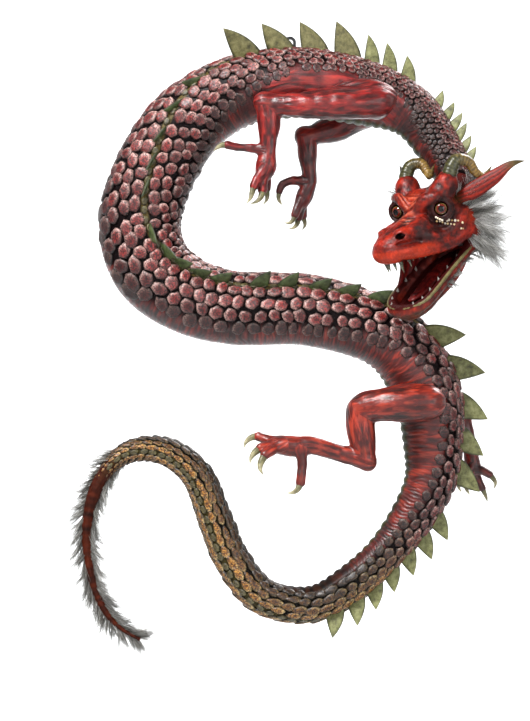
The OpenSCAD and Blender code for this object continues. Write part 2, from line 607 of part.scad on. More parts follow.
// The left ear is laid back and the right one pricked.
module ears() color("#7e1a12") head_frame() {
    spike([
        [-12, 13, 2.5, 2.2], [-17.5, 19, 4.8, 4], [-25, 26.5, 9.2, 3.6], [-31, 32.5, 13.4, 1.7], [-36.5, 36.8, 13.8, 0.2]
    ], 10, 2, [1, 0, 0], 0.45);
    spike([
        [-10, -12.5, 3, 2.2], [-12.5, -18.5, 8, 3.4], [-14.5, -23.8, 13, 2.8], [-17, -28.4, 18.4, 0.2]
    ], 10, 2, [1, 0, 0], 0.45);
}

// A ruff of hair behind each cheek, clear of the jaw below and the neck above.
mane_low = -48;
mane_high = 18;
module mane() color("#6b6a5c") head_frame() for (side = [0, 1]) mirror([0, side, 0])
    rotate([90, 0, -90]) mirror([1, 0, 0]) rotate([0, 0, mane_low])
        rotate_extrude(angle = mane_high - mane_low, $fn = 64)
            polygon([[14.2, 12.6], [15.6, 12.2], [24, 22], [22, 26], [14.2, 19]]);

// ---------- tail hair ----------
module tail_hair() color("#5d5c50") {
    t0 = 24.6;
    t1 = 29;
    count = 8;
    for (side = [-1, 1]) {
        edge = [for (i = [0:count])
            let (u = i / count, t = t0 + (t1 - t0) * u, row = row_at(SPINE, t), out = across(heading(SPINE, t), FRONT)[0])
            [xyz(row), side * out, row[3] + 0.3, (side > 0 ? 7 : 8.5) * sin(clamp(180 * (u * 0.8 + 0.1), 0, 180)) + 1]];
        outline = concat(
            [for (e = edge) let (p = e[0] + e[1] * e[2]) [p[0], p[2]]],
            [for (i = [count:-1:0]) let (e = edge[i], p = e[0] + e[1] * (e[2] + e[3])) [p[0], p[2]]]
        );
        rotate([90, 0, 0]) linear_extrude(2, center = true) polygon(outline);
    }
}

module shown(name) translate([0, plane_y, 0]) children();

shown("neck_spine") neck_spine();
shown("chest_spine") chest_spine();
shown("back_spine") spine_link(2);
shown("belly_spine") spine_link(3);
shown("waist_spine") spine_link(4);
shown("hips_spine") hips_spine();
shown("tail_base_spine") spine_link(6);
shown("tail_mid_spine") spine_link(7);
shown("tail_bend_spine") spine_link(8);
shown("tail_end_spine") spine_link(9);
shown("neck_body") neck_body();
shown("chest_body") chest_body();
shown("back_body") body_section(2);
shown("belly_body") body_section(3);
shown("waist_body") body_section(4);
shown("hips_body") hips_body();
shown("tail_base_body") body_section(6, "#6b2410");
shown("tail_mid_body") body_section(7, "#4f2410");
shown("tail_bend_body") body_section(8, "#4f2410");
shown("tail_end_body") body_section(9, "#7a1a10");
shown("chest_hinge_pins") hinge_pins(1);
shown("belly_hinge_pins") hinge_pins(3);
shown("hips_hinge_pins") hinge_pins(5);
shown("tail_mid_hinge_pins") hinge_pins(7);
shown("tail_end_hinge_pin") hinge_pins(9);
shown("neck_fins") neck_fins();
shown("chest_fins") chest_fins();
shown("back_fins") back_fins();
shown("belly_fins") belly_fins();
shown("waist_fins") waist_fins();
shown("hips_fins") hips_fins();
shown("tail_base_fins") tail_base_fins();
shown("near_front_upper_arm") upper_limb(SHOULDER, NF_UPPER, elbow_r, -1);
shown("near_front_forearm") lower_limb(NF_LOWER, elbow_r, wrist_r, -1);
shown("near_front_foot") foot(NF_PALM, NF_TOES, wrist_r, -1);
shown("near_front_claws") claws(NF_CLAWS);
shown("far_front_upper_arm") upper_limb(SHOULDER, FF_UPPER, far_elbow_r, 1);
shown("far_front_forearm") lower_limb(FF_LOWER, far_elbow_r, far_wrist_r, 1);
shown("far_front_foot") foot(FF_PALM, FF_TOES, far_wrist_r, 1);
shown("far_front_claws") claws(FF_CLAWS);
shown("near_hind_thigh") upper_limb(HIP, NH_UPPER, knee_r, -1);
shown("near_hind_shin") lower_limb(NH_LOWER, knee_r, heel_r, -1);
shown("near_hind_foot") foot(NH_PALM, NH_TOES, heel_r, -1);
shown("near_hind_claws") claws(NH_CLAWS);
shown("far_hind_thigh") upper_limb(HIP, FH_UPPER, far_knee_r, 1);
shown("far_hind_shin") lower_limb(FH_LOWER, far_knee_r, far_ankle_r, 1);
shown("far_hind_foot") foot(FH_PALM, FH_TOES, far_ankle_r, 1);
shown("far_hind_claws") claws(FH_CLAWS);
shown("head_yoke") head_yoke();
shown("skull") skull();
shown("lower_jaw") lower_jaw();
shown("jaw_pin") jaw_pin();
shown("eyes") eyes();
shown("horns") horns();
shown("ears") ears();
shown("upper_teeth") upper_teeth();
shown("lower_teeth") lower_teeth();
shown("tongue") tongue();
shown("mane") mane();
shown("tail_hair") tail_hair();
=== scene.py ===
"""Finish of the jointed dragon: skin over the foam sections, set scales, fins, sculpted head and
legs, claws, horns and hair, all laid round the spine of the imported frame."""

import functools
from math import cos, pi, radians, sin, sqrt

import bmesh
import bpy
import numpy as np
import openvdb as vdb
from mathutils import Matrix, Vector


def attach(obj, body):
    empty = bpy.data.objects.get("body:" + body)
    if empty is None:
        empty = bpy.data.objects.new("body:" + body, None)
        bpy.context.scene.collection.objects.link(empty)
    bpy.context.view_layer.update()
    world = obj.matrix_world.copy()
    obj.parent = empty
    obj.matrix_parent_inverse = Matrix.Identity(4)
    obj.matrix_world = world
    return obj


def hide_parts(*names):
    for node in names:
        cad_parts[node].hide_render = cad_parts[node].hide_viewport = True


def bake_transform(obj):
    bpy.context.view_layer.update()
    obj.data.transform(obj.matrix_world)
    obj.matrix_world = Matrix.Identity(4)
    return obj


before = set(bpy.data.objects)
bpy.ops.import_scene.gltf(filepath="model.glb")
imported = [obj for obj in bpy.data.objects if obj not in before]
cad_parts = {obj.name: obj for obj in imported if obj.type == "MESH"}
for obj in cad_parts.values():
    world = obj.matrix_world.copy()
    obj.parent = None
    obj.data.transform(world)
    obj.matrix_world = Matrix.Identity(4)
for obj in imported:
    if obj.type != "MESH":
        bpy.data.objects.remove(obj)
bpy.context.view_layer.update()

bl_info = {
    "name": "Jointed dragon",
    "version": (1, 0, 0),
    "blender": (4, 5, 0),
    "location": "View3D > Sidebar > Dragon",
    "description": "Skins, scales, fins, head, legs and hair of a jointed dragon",
    "category": "Object",
}

MM = 0.001
PLANE = np.array([0.0, -4.5, 0.0])
FRONT = np.array([0.0, -1.0, 0.0])
UPRIGHT = np.array([0.0, 0.0, 1.0])

# The spine in mm, from the head to the tip of the tail: x, y, z, body radius, and the roll of
# the back from the outside of the curve towards the front, in degrees.
SPINE = np.array([
    [79.5, -12, -67.5, 9, 5], [70, -4.5, -50, 10.4, 5], [57, 0, -33, 12.3, 5],
    [34, 0, -24, 15.3, 2], [3, 0, -19.5, 16.3, 5], [-28, 0, -25, 16.8, 30],
    [-54, 0, -45, 18.6, 70], [-70.5, 0, -80, 19.2, 97], [-67, 0, -105, 18.8, 122],
    [-50, 0, -119.8, 17.8, 130], [-26, 0, -126.5, 17, 133], [10, 0, -127.8, 16.4, 134],
    [46, 0, -139.5, 15.8, 152], [63.5, 0, -163, 16.1, 176], [67.4, 0, -190, 13.8, 178],
    [64.5, 0, -212, 11.4, 175], [48, 0, -238, 9, 172], [30, 0, -255.5, 8.9, 165],
    [10, 0, -266, 8.4, 158], [-13, 0, -262, 8.5, 130], [-27.5, 0, -244.5, 8.1, 122],
    [-34.5, 0, -228, 7.9, 120], [-44, 0, -205, 7.1, 122], [-60, 0, -193.5, 6.2, 110],
    [-78, 0, -195, 4.7, 95], [-91, 0, -209.5, 3.4, 90], [-96.3, 0, -232, 2.4, 90],
    [-93, 0, -257, 1.9, 90], [-84, 0, -274, 1.5, 90], [-71, 0, -283, 1.1, 90],
], float)
SECTIONS = ["neck", "chest", "back", "belly", "waist", "hips", "tail_base", "tail_mid", "tail_bend", "tail_end"]
FINNED = SECTIONS[:7]
# Where one skin piece ends and the next begins, as places in SPINE; each piece but the first
# and last crosses one hinge.
SKIN_CUTS = [-0.35, 1.0, 3.4, 6.0, 8.5, 11.0, 13.5, 16.5, 19.5, 22.5, 26.0, 29.0]


# ---------- sums ----------
def norms(v):
    """Lengths of the rows of an array."""
    return np.linalg.norm(v, axis=1)


def table(*columns):
    """Columns of numbers side by side, as the last axis."""
    return np.stack(columns, -1)


def corners(f):
    """The eight corners of a cell, and what each weighs at the fractions f of the cell."""
    for dx in (0, 1):
        for dy in (0, 1):
            for dz in (0, 1):
                yield dx, dy, dz, (f[:, 0] if dx else 1 - f[:, 0]) * (f[:, 1] if dy else 1 - f[:, 1]) * (f[:, 2]
                    if dz else 1 - f[:, 2])


def unit(v):
    v = np.asarray(v, float)
    return v / np.maximum(np.linalg.norm(v, axis=-1, keepdims=True), 1e-9)


def smooth(low, high, v):
    u = np.clip((np.asarray(v, float) - low) / (high - low), 0, 1)
    return u * u * (3 - 2 * u)


def rows_at(rows, t):
    """Rows of a table at fractional places, on a smooth curve through them."""
    rows = np.asarray(rows, float)
    t = np.atleast_1d(np.asarray(t, float))
    last = len(rows) - 1
    i = np.clip(np.floor(t).astype(int), 0, last - 1)
    u = (t - i)[:, None]
    a, b, c, d = rows[np.maximum(i - 1, 0)], rows[i], rows[i + 1], rows[np.minimum(i + 2, last)]
    return 0.5 * (2 * b + (c - a) * u + (2 * a - 5 * b + 4 * c - d) * u ** 2 + (3 * b - a - 3 * c + d) * u ** 3)


def headings(rows, t):
    t = np.atleast_1d(np.asarray(t, float))
    return unit(rows_at(rows, t + 0.02)[:, :3] - rows_at(rows, t - 0.02)[:, :3])


def value_noise(p, seed=0):
    """Smooth noise from -1 to 1 at points n x 3."""
    p = np.asarray(p, float)
    i = np.floor(p).astype(np.int64)
    f = p - i
    f = f * f * (3 - 2 * f)
    total = 0
    # each corner's number comes from its place, stirred with large primes
    for dx, dy, dz, w in corners(f):
        n = (i[:, 0] + dx) * 73856093 ^ (i[:, 1] + dy) * 19349663 ^ (i[:, 2] + dz) * 83492791 ^ (seed + 7) * 40503
        n = (n ^ (n >> 13)) * 1274126177
        n = (n ^ (n >> 16)) & 0xFFFFF
        total = total + w * (n / 524287.5 - 1)
    return total


def rough_noise(p, seed=0, octaves=3):
    total, size = 0, 1.0
    for k in range(octaves):
        total = total + size * value_noise(np.asarray(p) * 2 ** k, seed + 31 * k)
        size *= 0.5
    return total / 1.75


def srgb(code):
    """A hex colour as linear red, green, blue."""
    parts = [int(code[i:i + 2], 16) / 255 for i in (1, 3, 5)]
    return np.array([c / 12.92 if c <= 0.04045 else ((c + 0.055) / 1.055) ** 2.4 for c in parts])


def blotched(low, high, w):
    """Two hex colours mixed by a weight that is held between 0 and 1."""
    return mixed(srgb(low), srgb(high), np.clip(w, 0, 1))


def sprayed(tint, *coats):
    """Hex colours laid over a tint in turn, each by its own weight for each point."""
    for code, w in coats:
        tint = mixed(tint, srgb(code), w)
    return tint


def mixed(a, b, w):
    """Colours a and b mixed by a weight for each point."""
    w = np.asarray(w, float)[:, None]
    return np.asarray(a) * (1 - w) + np.asarray(b) * w


# ---------- nodes and meshes ----------
def feed(node, inputs):
    """Gives each input a value, an output, or a node, whose first live output it takes."""
    for key, value in inputs.items():
        socket = node.inputs[key]
        if isinstance(value, bpy.types.Node):
            value = next(out for out in value.outputs if out.enabled)
        if isinstance(value, bpy.types.NodeSocket):
            node.id_data.links.new(value, socket)
        else:
            socket.default_value = (*value, 1)[:4] if socket.type == "RGBA" else value


def add(tree, kind, inputs=None, stops=(), family="", **settings):
    """Adds a node with its settings and links; stops are the places and colours of a ramp."""
    node = tree.nodes.new(family + kind)
    for name, value in settings.items():
        setattr(node, name, value)
    for _ in stops[2:]:
        node.color_ramp.elements.new(0.5)
    for element, (place, code) in zip(node.color_ramp.elements if stops else (), stops):
        element.position, element.color = place, (*srgb(code), 1)
    feed(node, inputs or {})
    return node


def new_material(name, **settings):
    """A material, its shader, its object coordinates, and the function that adds nodes to it."""
    material = bpy.data.materials.new(name)
    material.use_nodes = True
    tree = material.node_tree
    shader = tree.nodes["Principled BSDF"]
    feed(shader, {key.replace("_", " "): value for key, value in settings.items()})
    node = functools.partial(add, tree, family="ShaderNode")
    return material, shader, node("TexCoord").outputs["Object"], node


BLEND = {"data_type": "RGBA"}
STAIN = {"data_type": "RGBA", "blend_type": "MULTIPLY"}
TIMES = {"operation": "MULTIPLY"}


def set_attribute(mesh, name, values):
    """A value for each point: a number, a direction, or a colour where the name is tint or has four parts."""
    values = np.asarray(values)
    kind, field = "FLOAT", "value"
    if values.ndim > 1:
        kind, field = "FLOAT_VECTOR", "vector"
        if name == "tint" or values.shape[1] == 4:
            kind, field = "FLOAT_COLOR", "color"
            values = np.hstack([values[:, :3], np.ones((len(values), 1))])
    mesh.attributes.new(name, kind, "POINT").data.foreach_set(field, np.ascontiguousarray(values.ravel(), np.float32))


def make_mesh(name, points, faces, attributes=None, sharp=False):
    """A mesh from points in mm in the frame of the part."""
    mesh = bpy.data.meshes.new(name)
    mesh.from_pydata((np.asarray(points, float) * MM).tolist(), [], [list(map(int, f)) for f in faces])
    mesh.polygons.foreach_set("use_smooth", np.full(len(mesh.polygons), not sharp))
    for key, value in (attributes or {}).items():
        set_attribute(mesh, key, value)
    mesh.update()
    return mesh


def make_object(name, mesh, material=None):
    obj = bpy.data.objects.new(name, mesh)
    bpy.context.scene.collection.objects.link(obj)
    if material:
        mesh.materials.clear()
        mesh.materials.append(material)
    return obj


def shell_normals(points, faces):
    """Normals at the points of a mesh of quads."""
    p = np.asarray(points, float)
    f = np.asarray(faces)
    n = np.cross(p[f[:, 2]] - p[f[:, 0]], p[f[:, 3]] - p[f[:, 1]])
    total = np.zeros_like(p)
    for k in range(4):
        np.add.at(total, f[:, k], n)
    return unit(total)


def grid_faces(rows, columns, wrap=True, start=0):
    """Quads of a grid of rows of points; wrap closes each row into a ring."""
    count = columns if wrap else columns - 1
    r, c = np.meshgrid(np.arange(rows - 1), np.arange(count), indexing="ij")
    a = start + r * columns + c
    b = start + r * columns + (c + 1) % columns
    return table(a, b, b + columns, a + columns).reshape(-1, 4)


def turn_outwards(obj):
    mesh = bmesh.new()
    mesh.from_mesh(obj.data)
    bmesh.ops.recalc_face_normals(mesh, faces=mesh.faces)
    mesh.to_mesh(obj.data)
    mesh.free()
    obj.data.update()


def tube_points(rows, sides, steps, ref=FRONT, flat=1.0, groove=None):
    """A tube through rows of x, y, z, radius: points, faces, place along and place around."""
    last = len(rows) - 1
    t = np.linspace(0, last, last * steps + 1)
    row = rows_at(rows, t)
    dirs = headings(rows, t)
    side = unit(np.cross(dirs, ref))
    front = np.cross(side, dirs)
    centres, radii = row[:, :3], np.maximum(row[:, 3], 0.02)
    caps = [(centres[0] - dirs[0] * radii[0] * k, radii[0] * sqrt(1 - k * k)) for k in (0.97, 0.8, 0.45)]
    ends = [(centres[-1] + dirs[-1] * radii[-1] * k, radii[-1] * sqrt(1 - k * k)) for k in (0.45, 0.8, 0.97)]
    centres = np.vstack([[c for c, _ in caps], centres, [c for c, _ in ends]])
    radii = np.concatenate([[r for _, r in caps], radii, [r for _, r in ends]])
    side = np.vstack([np.repeat(side[:1], 3, 0), side, np.repeat(side[-1:], 3, 0)])
    front = np.vstack([np.repeat(front[:1], 3, 0), front, np.repeat(front[-1:], 3, 0)])
    t = np.concatenate([np.full(3, t[0]), t, np.full(3, t[-1])])
    a = np.linspace(0, 2 * pi, sides, endpoint=False)
    reach = radii[:, None] * np.ones(sides)
    if groove is not None:
        reach = groove(t[:, None], a[None, :], reach)
    points = centres[:, None] + reach[..., None] * (np.cos(a)[None, :, None] * side[:, None] + flat
        * np.sin(a)[None, :, None] * front[:, None])
    faces = [list(f) for f in grid_faces(len(centres), sides)]
    n = len(centres) * sides
    faces += [list(range(sides - 1, -1, -1)), list(range(n - sides, n))]
    return points.reshape(-1, 3), faces, np.repeat(t, sides), np.tile(a, len(t))


def joined(parts):
    """Several (points, faces, values) lists as one; the values become attributes."""
    points, faces, values, offset = [], [], {}, 0
    for part in parts:
        points.append(part[0])
        faces += [[i + offset for i in f] for f in part[1]]
        for key, value in part[2].items():
            values.setdefault(key, []).append(value)
        offset += len(part[0])
    return np.vstack(points), faces, {k: np.concatenate(v) for k, v in values.items()}


# ---------- clay ----------
class Clay:
    """A block of modelling clay in mm: a grid of distances to which balls and rods are added."""

    def __init__(self, low, high, step):
        self.low = np.array(low, float)
        self.step = step
        self.field = np.full(np.ceil((np.array(high) - self.low) / step).astype(int) + 1, 4.0, np.float32)

    def work(self, distance, low, high, soft, cut):
        pad = soft + 2.5
        a = np.clip(np.floor((np.array(low) - pad - self.low) / self.step).astype(int), 0, self.field.shape)
        b = np.clip(np.ceil((np.array(high) + pad - self.low) / self.step).astype(int) + 1, 0, self.field.shape)
        if (b <= a).any():
            return
        window = tuple(slice(i, j) for i, j in zip(a, b))
        axes = [(self.low[k] + self.step * np.arange(a[k], b[k])).astype(np.float32) for k in range(3)]
        new = distance(axes[0][:, None, None], axes[1][None, :, None], axes[2][None, None, :])
        old = self.field[window]
        if cut:
            new = -new
        h = np.maximum(soft - np.abs(old - new), 0) / soft
        edge = np.maximum(old, new) if cut else np.minimum(old, new)
        self.field[window] = edge + (h * h * soft * 0.25 if cut else -h * h * soft * 0.25)

    def ball(self, centre, radius, soft=2.0, cut=False, both=False, lean=0.0):
        """An ellipsoid; lean turns it about the second axis, in degrees."""
        r = np.broadcast_to(np.array(radius, float), 3)
        c, s = cos(radians(lean)), sin(radians(lean))
        for side in ((1, -1) if both else (1,)):
            m = [centre[0], centre[1] * side, centre[2]]

            def distance(x, y, z):
                x, y, z = x - m[0], y - m[1], z - m[2]
                x, z = x * c + z * s, z * c - x * s
                k0 = np.sqrt((x / r[0]) ** 2 + (y / r[1]) ** 2 + (z / r[2]) ** 2)
                k1 = np.sqrt((x / r[0] ** 2) ** 2 + (y / r[1] ** 2) ** 2 + (z / r[2] ** 2) ** 2)
                return k0 * (k0 - 1) / np.maximum(k1, 1e-6)

            reach = np.array([max(r[0], r[2]), r[1], max(r[0], r[2])]) if lean else r
            self.work(distance, np.array(m) - reach, np.array(m) + reach, soft, cut)

    def rod(self, a, b, ra, rb, soft=2.0, cut=False, both=False):
        for side in ((1, -1) if both else (1,)):
            p = np.array([a[0], a[1] * side, a[2]], float)
            q = np.array([b[0], b[1] * side, b[2]], float)
            d = q - p
            dd = float(d @ d) + 1e-9

            def distance(x, y, z):
                x, y, z = x - p[0], y - p[1], z - p[2]
                t = np.clip((x * d[0] + y * d[1] + z * d[2]) / dd, 0, 1)
                return np.sqrt((x - t * d[0]) ** 2 + (y - t * d[1]) ** 2 + (z - t * d[2]) ** 2) - (ra + t * (rb - ra))

            r = max(ra, rb)
            self.work(distance, np.minimum(p, q) - r, np.maximum(p, q) + r, soft, cut)

    def chain(self, rows, soft=2.0, cut=False, both=False, steps=3):
        line = rows_at(rows, np.linspace(0, len(rows) - 1, (len(rows) - 1) * steps + 1))
        for a, b in zip(line[:-1], line[1:]):
            self.rod(a[:3], b[:3], a[3], b[3], soft, cut, both)

    def surface(self):
        """Points in mm, outward quads and normals."""
        grid = vdb.FloatGrid(4.0)
        grid.copyFromArray(np.ascontiguousarray(self.field), tolerance=0)
        points, quads = grid.convertToQuads(isovalue=0)
        points = self.low + points * self.step
        quads = quads.astype(int)
        p = points[quads]
        if np.einsum("ij,ij->i", p[:, 0], np.cross(p[:, 1], p[:, 2])).sum() < 0:
            quads = quads[:, ::-1]
        return points, quads, shell_normals(points, quads)

    def depth(self, points):
        """Distance to the surface at points, straight-line between grid points."""
        g = (np.asarray(points, float) - self.low) / self.step
        g = np.clip(g, 0, np.array(self.field.shape) - 1.001)
        i = g.astype(int)
        f = g - i
        total = 0
        for dx, dy, dz, w in corners(f):
            total = total + w * self.field[i[:, 0] + dx, i[:, 1] + dy, i[:, 2] + dz]
        return total

    def settle(self, points, rounds=12):
        """Moves points on to the surface along the slope of the clay."""
        p = np.array(points, float)
        for _ in range(rounds):
            d = self.depth(p)
            slope = np.stack([self.depth(p + e) - self.depth(p - e) for e in np.eye(3) * 0.6], -1)
            p = p - 0.8 * np.clip(d, -2, 2)[:, None] * unit(slope)
        return p, unit(slope)


def part_between(name, points, faces, attributes, normals, planes, material):
    """The piece of a shell that lies in front of every plane, with its cut ends closed."""
    mesh = make_mesh(name, points, faces, {**attributes, "shade": normals})
    obj = make_object(name, mesh, material)
    work = bmesh.new()
    work.from_mesh(mesh)
    for place, direction in planes:
        cut = bmesh.ops.bisect_plane(
            work, geom=work.verts[:] + work.edges[:] + work.faces[:],
            plane_co=np.array(place) * MM, plane_no=direction, clear_inner=True)
        rim = [e for e in cut["geom_cut"] if isinstance(e, bmesh.types.BMEdge) and e.is_boundary]
        if rim:
            bmesh.ops.holes_fill(work, edges=rim, sides=0)
    work.to_mesh(mesh)
    work.free()
    count = len(mesh.vertices)
    shade = np.zeros(count * 3, np.float32)
    mesh.attributes["shade"].data.foreach_get("vector", shade)
    mesh.attributes.remove(mesh.attributes["shade"])
    mesh.polygons.foreach_set("use_smooth", np.ones(len(mesh.polygons), bool))
    mesh.normals_split_custom_set_from_vertices(unit(shade.reshape(-1, 3)))
    return obj


# ---------- the body's surface ----------
ARC_T = np.linspace(SKIN_CUTS[0], SKIN_CUTS[-1], 3001)
_line = rows_at(SPINE, ARC_T)[:, :3]
ARC_S = np.concatenate([[0], np.cumsum(norms(np.diff(_line, axis=0)))])


def arc_of(t):
    return np.interp(t, ARC_T, ARC_S)


def place_of(arc):
    return np.interp(arc, ARC_S, ARC_T)


def body_frame(t):
    row = rows_at(SPINE, t)
    dirs = headings(SPINE, t)
    side = unit(np.cross(dirs, FRONT))
    return row[:, :3] + PLANE, row[:, 3], dirs, side, np.cross(side, dirs), np.radians(row[:, 4])


def body_points(t, angle, out=0.0):
    """Points and outward directions at places along the body and angles from the back line."""
    centre, r, dirs, side, front, roll = body_frame(t)
    a = (roll + angle)[:, None]
    outward = np.cos(a) * side + np.sin(a) * front
    return centre + (r + out)[:, None] * outward, outward, dirs, r


def by_place(t, *pairs):
    """A value along the body, straight between the places given."""
    return np.interp(t, [p for p, _ in pairs], [v for _, v in pairs])


def scale_pitch(t):
    return by_place(t, (0, 3.0), (2, 2.9), (3, 3.4), (4, 4.4), (5, 5.4), (6, 6.4), (8, 6.9), (11, 6.6),
                    (13, 5.8), (15, 5.8), (17, 5.8), (20, 6.2), (22, 5.4), (24, 3.8), (25, 2.4))


def scale_share(t):
    """Width of a scale as a share of its length."""
    return by_place(t, (0, 0.9), (3, 0.85), (6, 0.88), (12, 0.84), (14, 0.72), (17, 0.6), (24, 0.52))


def scale_limit(t):
    """Angle from the back line at which the scales end, in degrees."""
    return by_place(t, (0, 116), (1.6, 108), (2.3, 66), (3.8, 56), (4.8, 74), (6, 96), (7.5, 92), (9, 78), (11.5, 74),
                    (12.6, 66), (13.6, 62), (15, 78), (16.5, 104), (24, 110))


def strip_half(t):
    """Half width of the plain strip along the back."""
    return by_place(t, (0, 0.5), (4, 0.8), (5.5, 1.3), (8, 1.2), (12, 1.0), (16, 1.2), (20, 1.5), (24, 0.9), (26, 0.3))


def fit_to_body(obj, piece):
    """Bakes a piece of the covering where it lies, but hangs the last piece on the tip of the tail."""
    if piece == 0:
        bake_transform(obj)
    elif piece == len(SKIN_CUTS) - 2:
        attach(obj, "tail_end")
    else:
        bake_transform(obj)


def sections_under(piece):
    """The foam sections that a piece of the covering stands for."""
    last = len(SECTIONS) - 1
    return [SECTIONS[k] for k in sorted({min(max(piece - 1, 0), last), min(piece, last)})]


BODY_COLUMNS = 104


def fasten(obj, body, slot, *nodes):
    """Makes a rigid piece ride on a body in place of its CAD solids."""
    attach(obj, body)
    if nodes:
        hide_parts(*nodes)


def cover_body(obj, piece):
    """Makes a piece of skin or scales stand for the sections it lies over."""
    fit_to_body(obj, piece)
    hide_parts(*[name + "_body" for name in sections_under(piece)])


def sheet_border(rows, columns):
    """Points round the edge of a grid, in order."""
    last = rows - 1
    return [i * columns for i in range(rows)] + [last * columns + k for k in range(1, columns)] \
        + [i * columns + columns - 1 for i in range(last - 1, -1, -1)] + list(range(columns - 2, 0, -1))


def body_skin_grid(step, furrow):
    arcs, marks = [], [0]
    for a, b in zip(SKIN_CUTS[:-1], SKIN_CUTS[1:]):
        count = int(round((arc_of(b) - arc_of(a)) / step))
        arcs.append(np.linspace(arc_of(a), arc_of(b), count, endpoint=False))
        marks.append(marks[-1] + count)
    arcs = np.append(np.concatenate(arcs), arc_of(SKIN_CUTS[-1]))
    rings = len(arcs)
    t = np.repeat(place_of(arcs), BODY_COLUMNS)
    s = np.repeat(arcs, BODY_COLUMNS)
    angle = np.tile(np.linspace(-pi, pi, BODY_COLUMNS, endpoint=False), rings)
    r = rows_at(SPINE, t)[:, 3]
    away = np.abs(np.degrees(angle))
    reach = np.abs(angle) * r
    limit = scale_limit(t)
    flank = smooth(limit - 14, limit + 8, away)
    belly = smooth(138, 156, away) * (1 - smooth(17, 21, t))
    tail = smooth(15.6, 17.6, t)
    tip = smooth(23.6, 25.2, t)
    strip = 1 - smooth(strip_half(t), strip_half(t) + 0.7, reach)
    chest = smooth(1.7, 2.6, t) * (1 - smooth(4.3, 5.2, t)) * flank * (1 - belly)
    hips = smooth(11.8, 12.8, t) * (1 - smooth(15, 16.2, t)) * flank * (1 - belly)

    warp = 1.3 * value_noise(table(s / 9, reach / 7, t * 0 + 3), 5)
    streak = np.abs(np.sin(pi * (s / 1.75 + warp)))
    gather = rough_noise(table(s / 1.5, reach / 8, t * 0), 9)
    strand = rough_noise(table(s / 7, reach / 1.5, t * 0 + 8), 17)
    long_way = np.clip(1.1 * chest, 0, 1)
    out = -0.75 * (1 - flank) * (1 - tip) + 0.25 * strip * (1 - flank)
    out = out - furrow * (1 - tail) * flank * (1 - long_way) * (1 - belly) * ((1 - streak) ** 1.5 - 0.35 * gather)
    out = out + furrow * 0.9 * long_way * (strand - 0.2)
    scallop = np.abs(np.sin(pi * s / 5.0 + 0.5 * np.sin(s / 13)))
    out = out + belly * (0.75 * scallop - 0.35)
    out = out + tip * 0.16 * value_noise(table(s / 0.9, reach / 0.9, t * 0), 4)
    points, outward, _, _ = body_points(t, angle, out)

    # painted shade and highlight: the skin is darker down in the furrows and lighter on their raised ridges, on the
    # flanks and on the chest muscle
    red = blotched("#300705", "#7c180f", 0.45 + 0.75 * gather + 0.25 * (streak - 0.5))
    red = mixed(red, srgb("#1c0504"), 0.85 * (1 - smooth(0.12, 0.6, streak)) * (1 - long_way))
    meat = blotched("#4c070a", "#a91f1b", 0.5 + 0.75 * strand)
    tint = mixed(red, meat, long_way)
    tint = mixed(tint, blotched("#5c120a", "#ad3218", 0.5 + 0.8 * gather), 0.75 * hips)
    patch = smooth(0.1, 0.5, rough_noise(table(s / 14, reach / 12, t * 0 + 5), 23))
    tint = mixed(tint, tint * 0.35, 0.6 * patch)
    # painted shade: the belly is lighter on the raised scallops and darker between them
    tint = mixed(tint, mixed(srgb("#1d2010"), srgb("#3d4222"), scallop), belly)
    dark_tail = blotched("#0d0604", "#2f1709", 0.3 + gather)
    tint = mixed(tint, dark_tail, tail)
    tint = mixed(tint, mixed(srgb("#0b0203"), srgb("#060302"), tail), 1 - flank)
    tint = mixed(tint, mixed(srgb("#5b4d2b"), srgb("#3a3319"), tail),
        strip * (1 - smooth(0, 0.9, flank)) * smooth(3.6, 4.6, t))
    tint = mixed(tint, blotched("#220c07", "#5c220f", 0.4 + 0.55 * gather), tip)
    grain = flank * (1 - belly) * (1 - tail)
    faces = grid_faces(rings, BODY_COLUMNS)
    # the columns run from the outside towards the front, which turns the quads inwards
    faces = faces[:, ::-1]
    values = {"tint": tint, "lay": table(s, reach, t), "grain": grain, "along": long_way}
    return points, faces, shell_normals(points, faces), values, marks


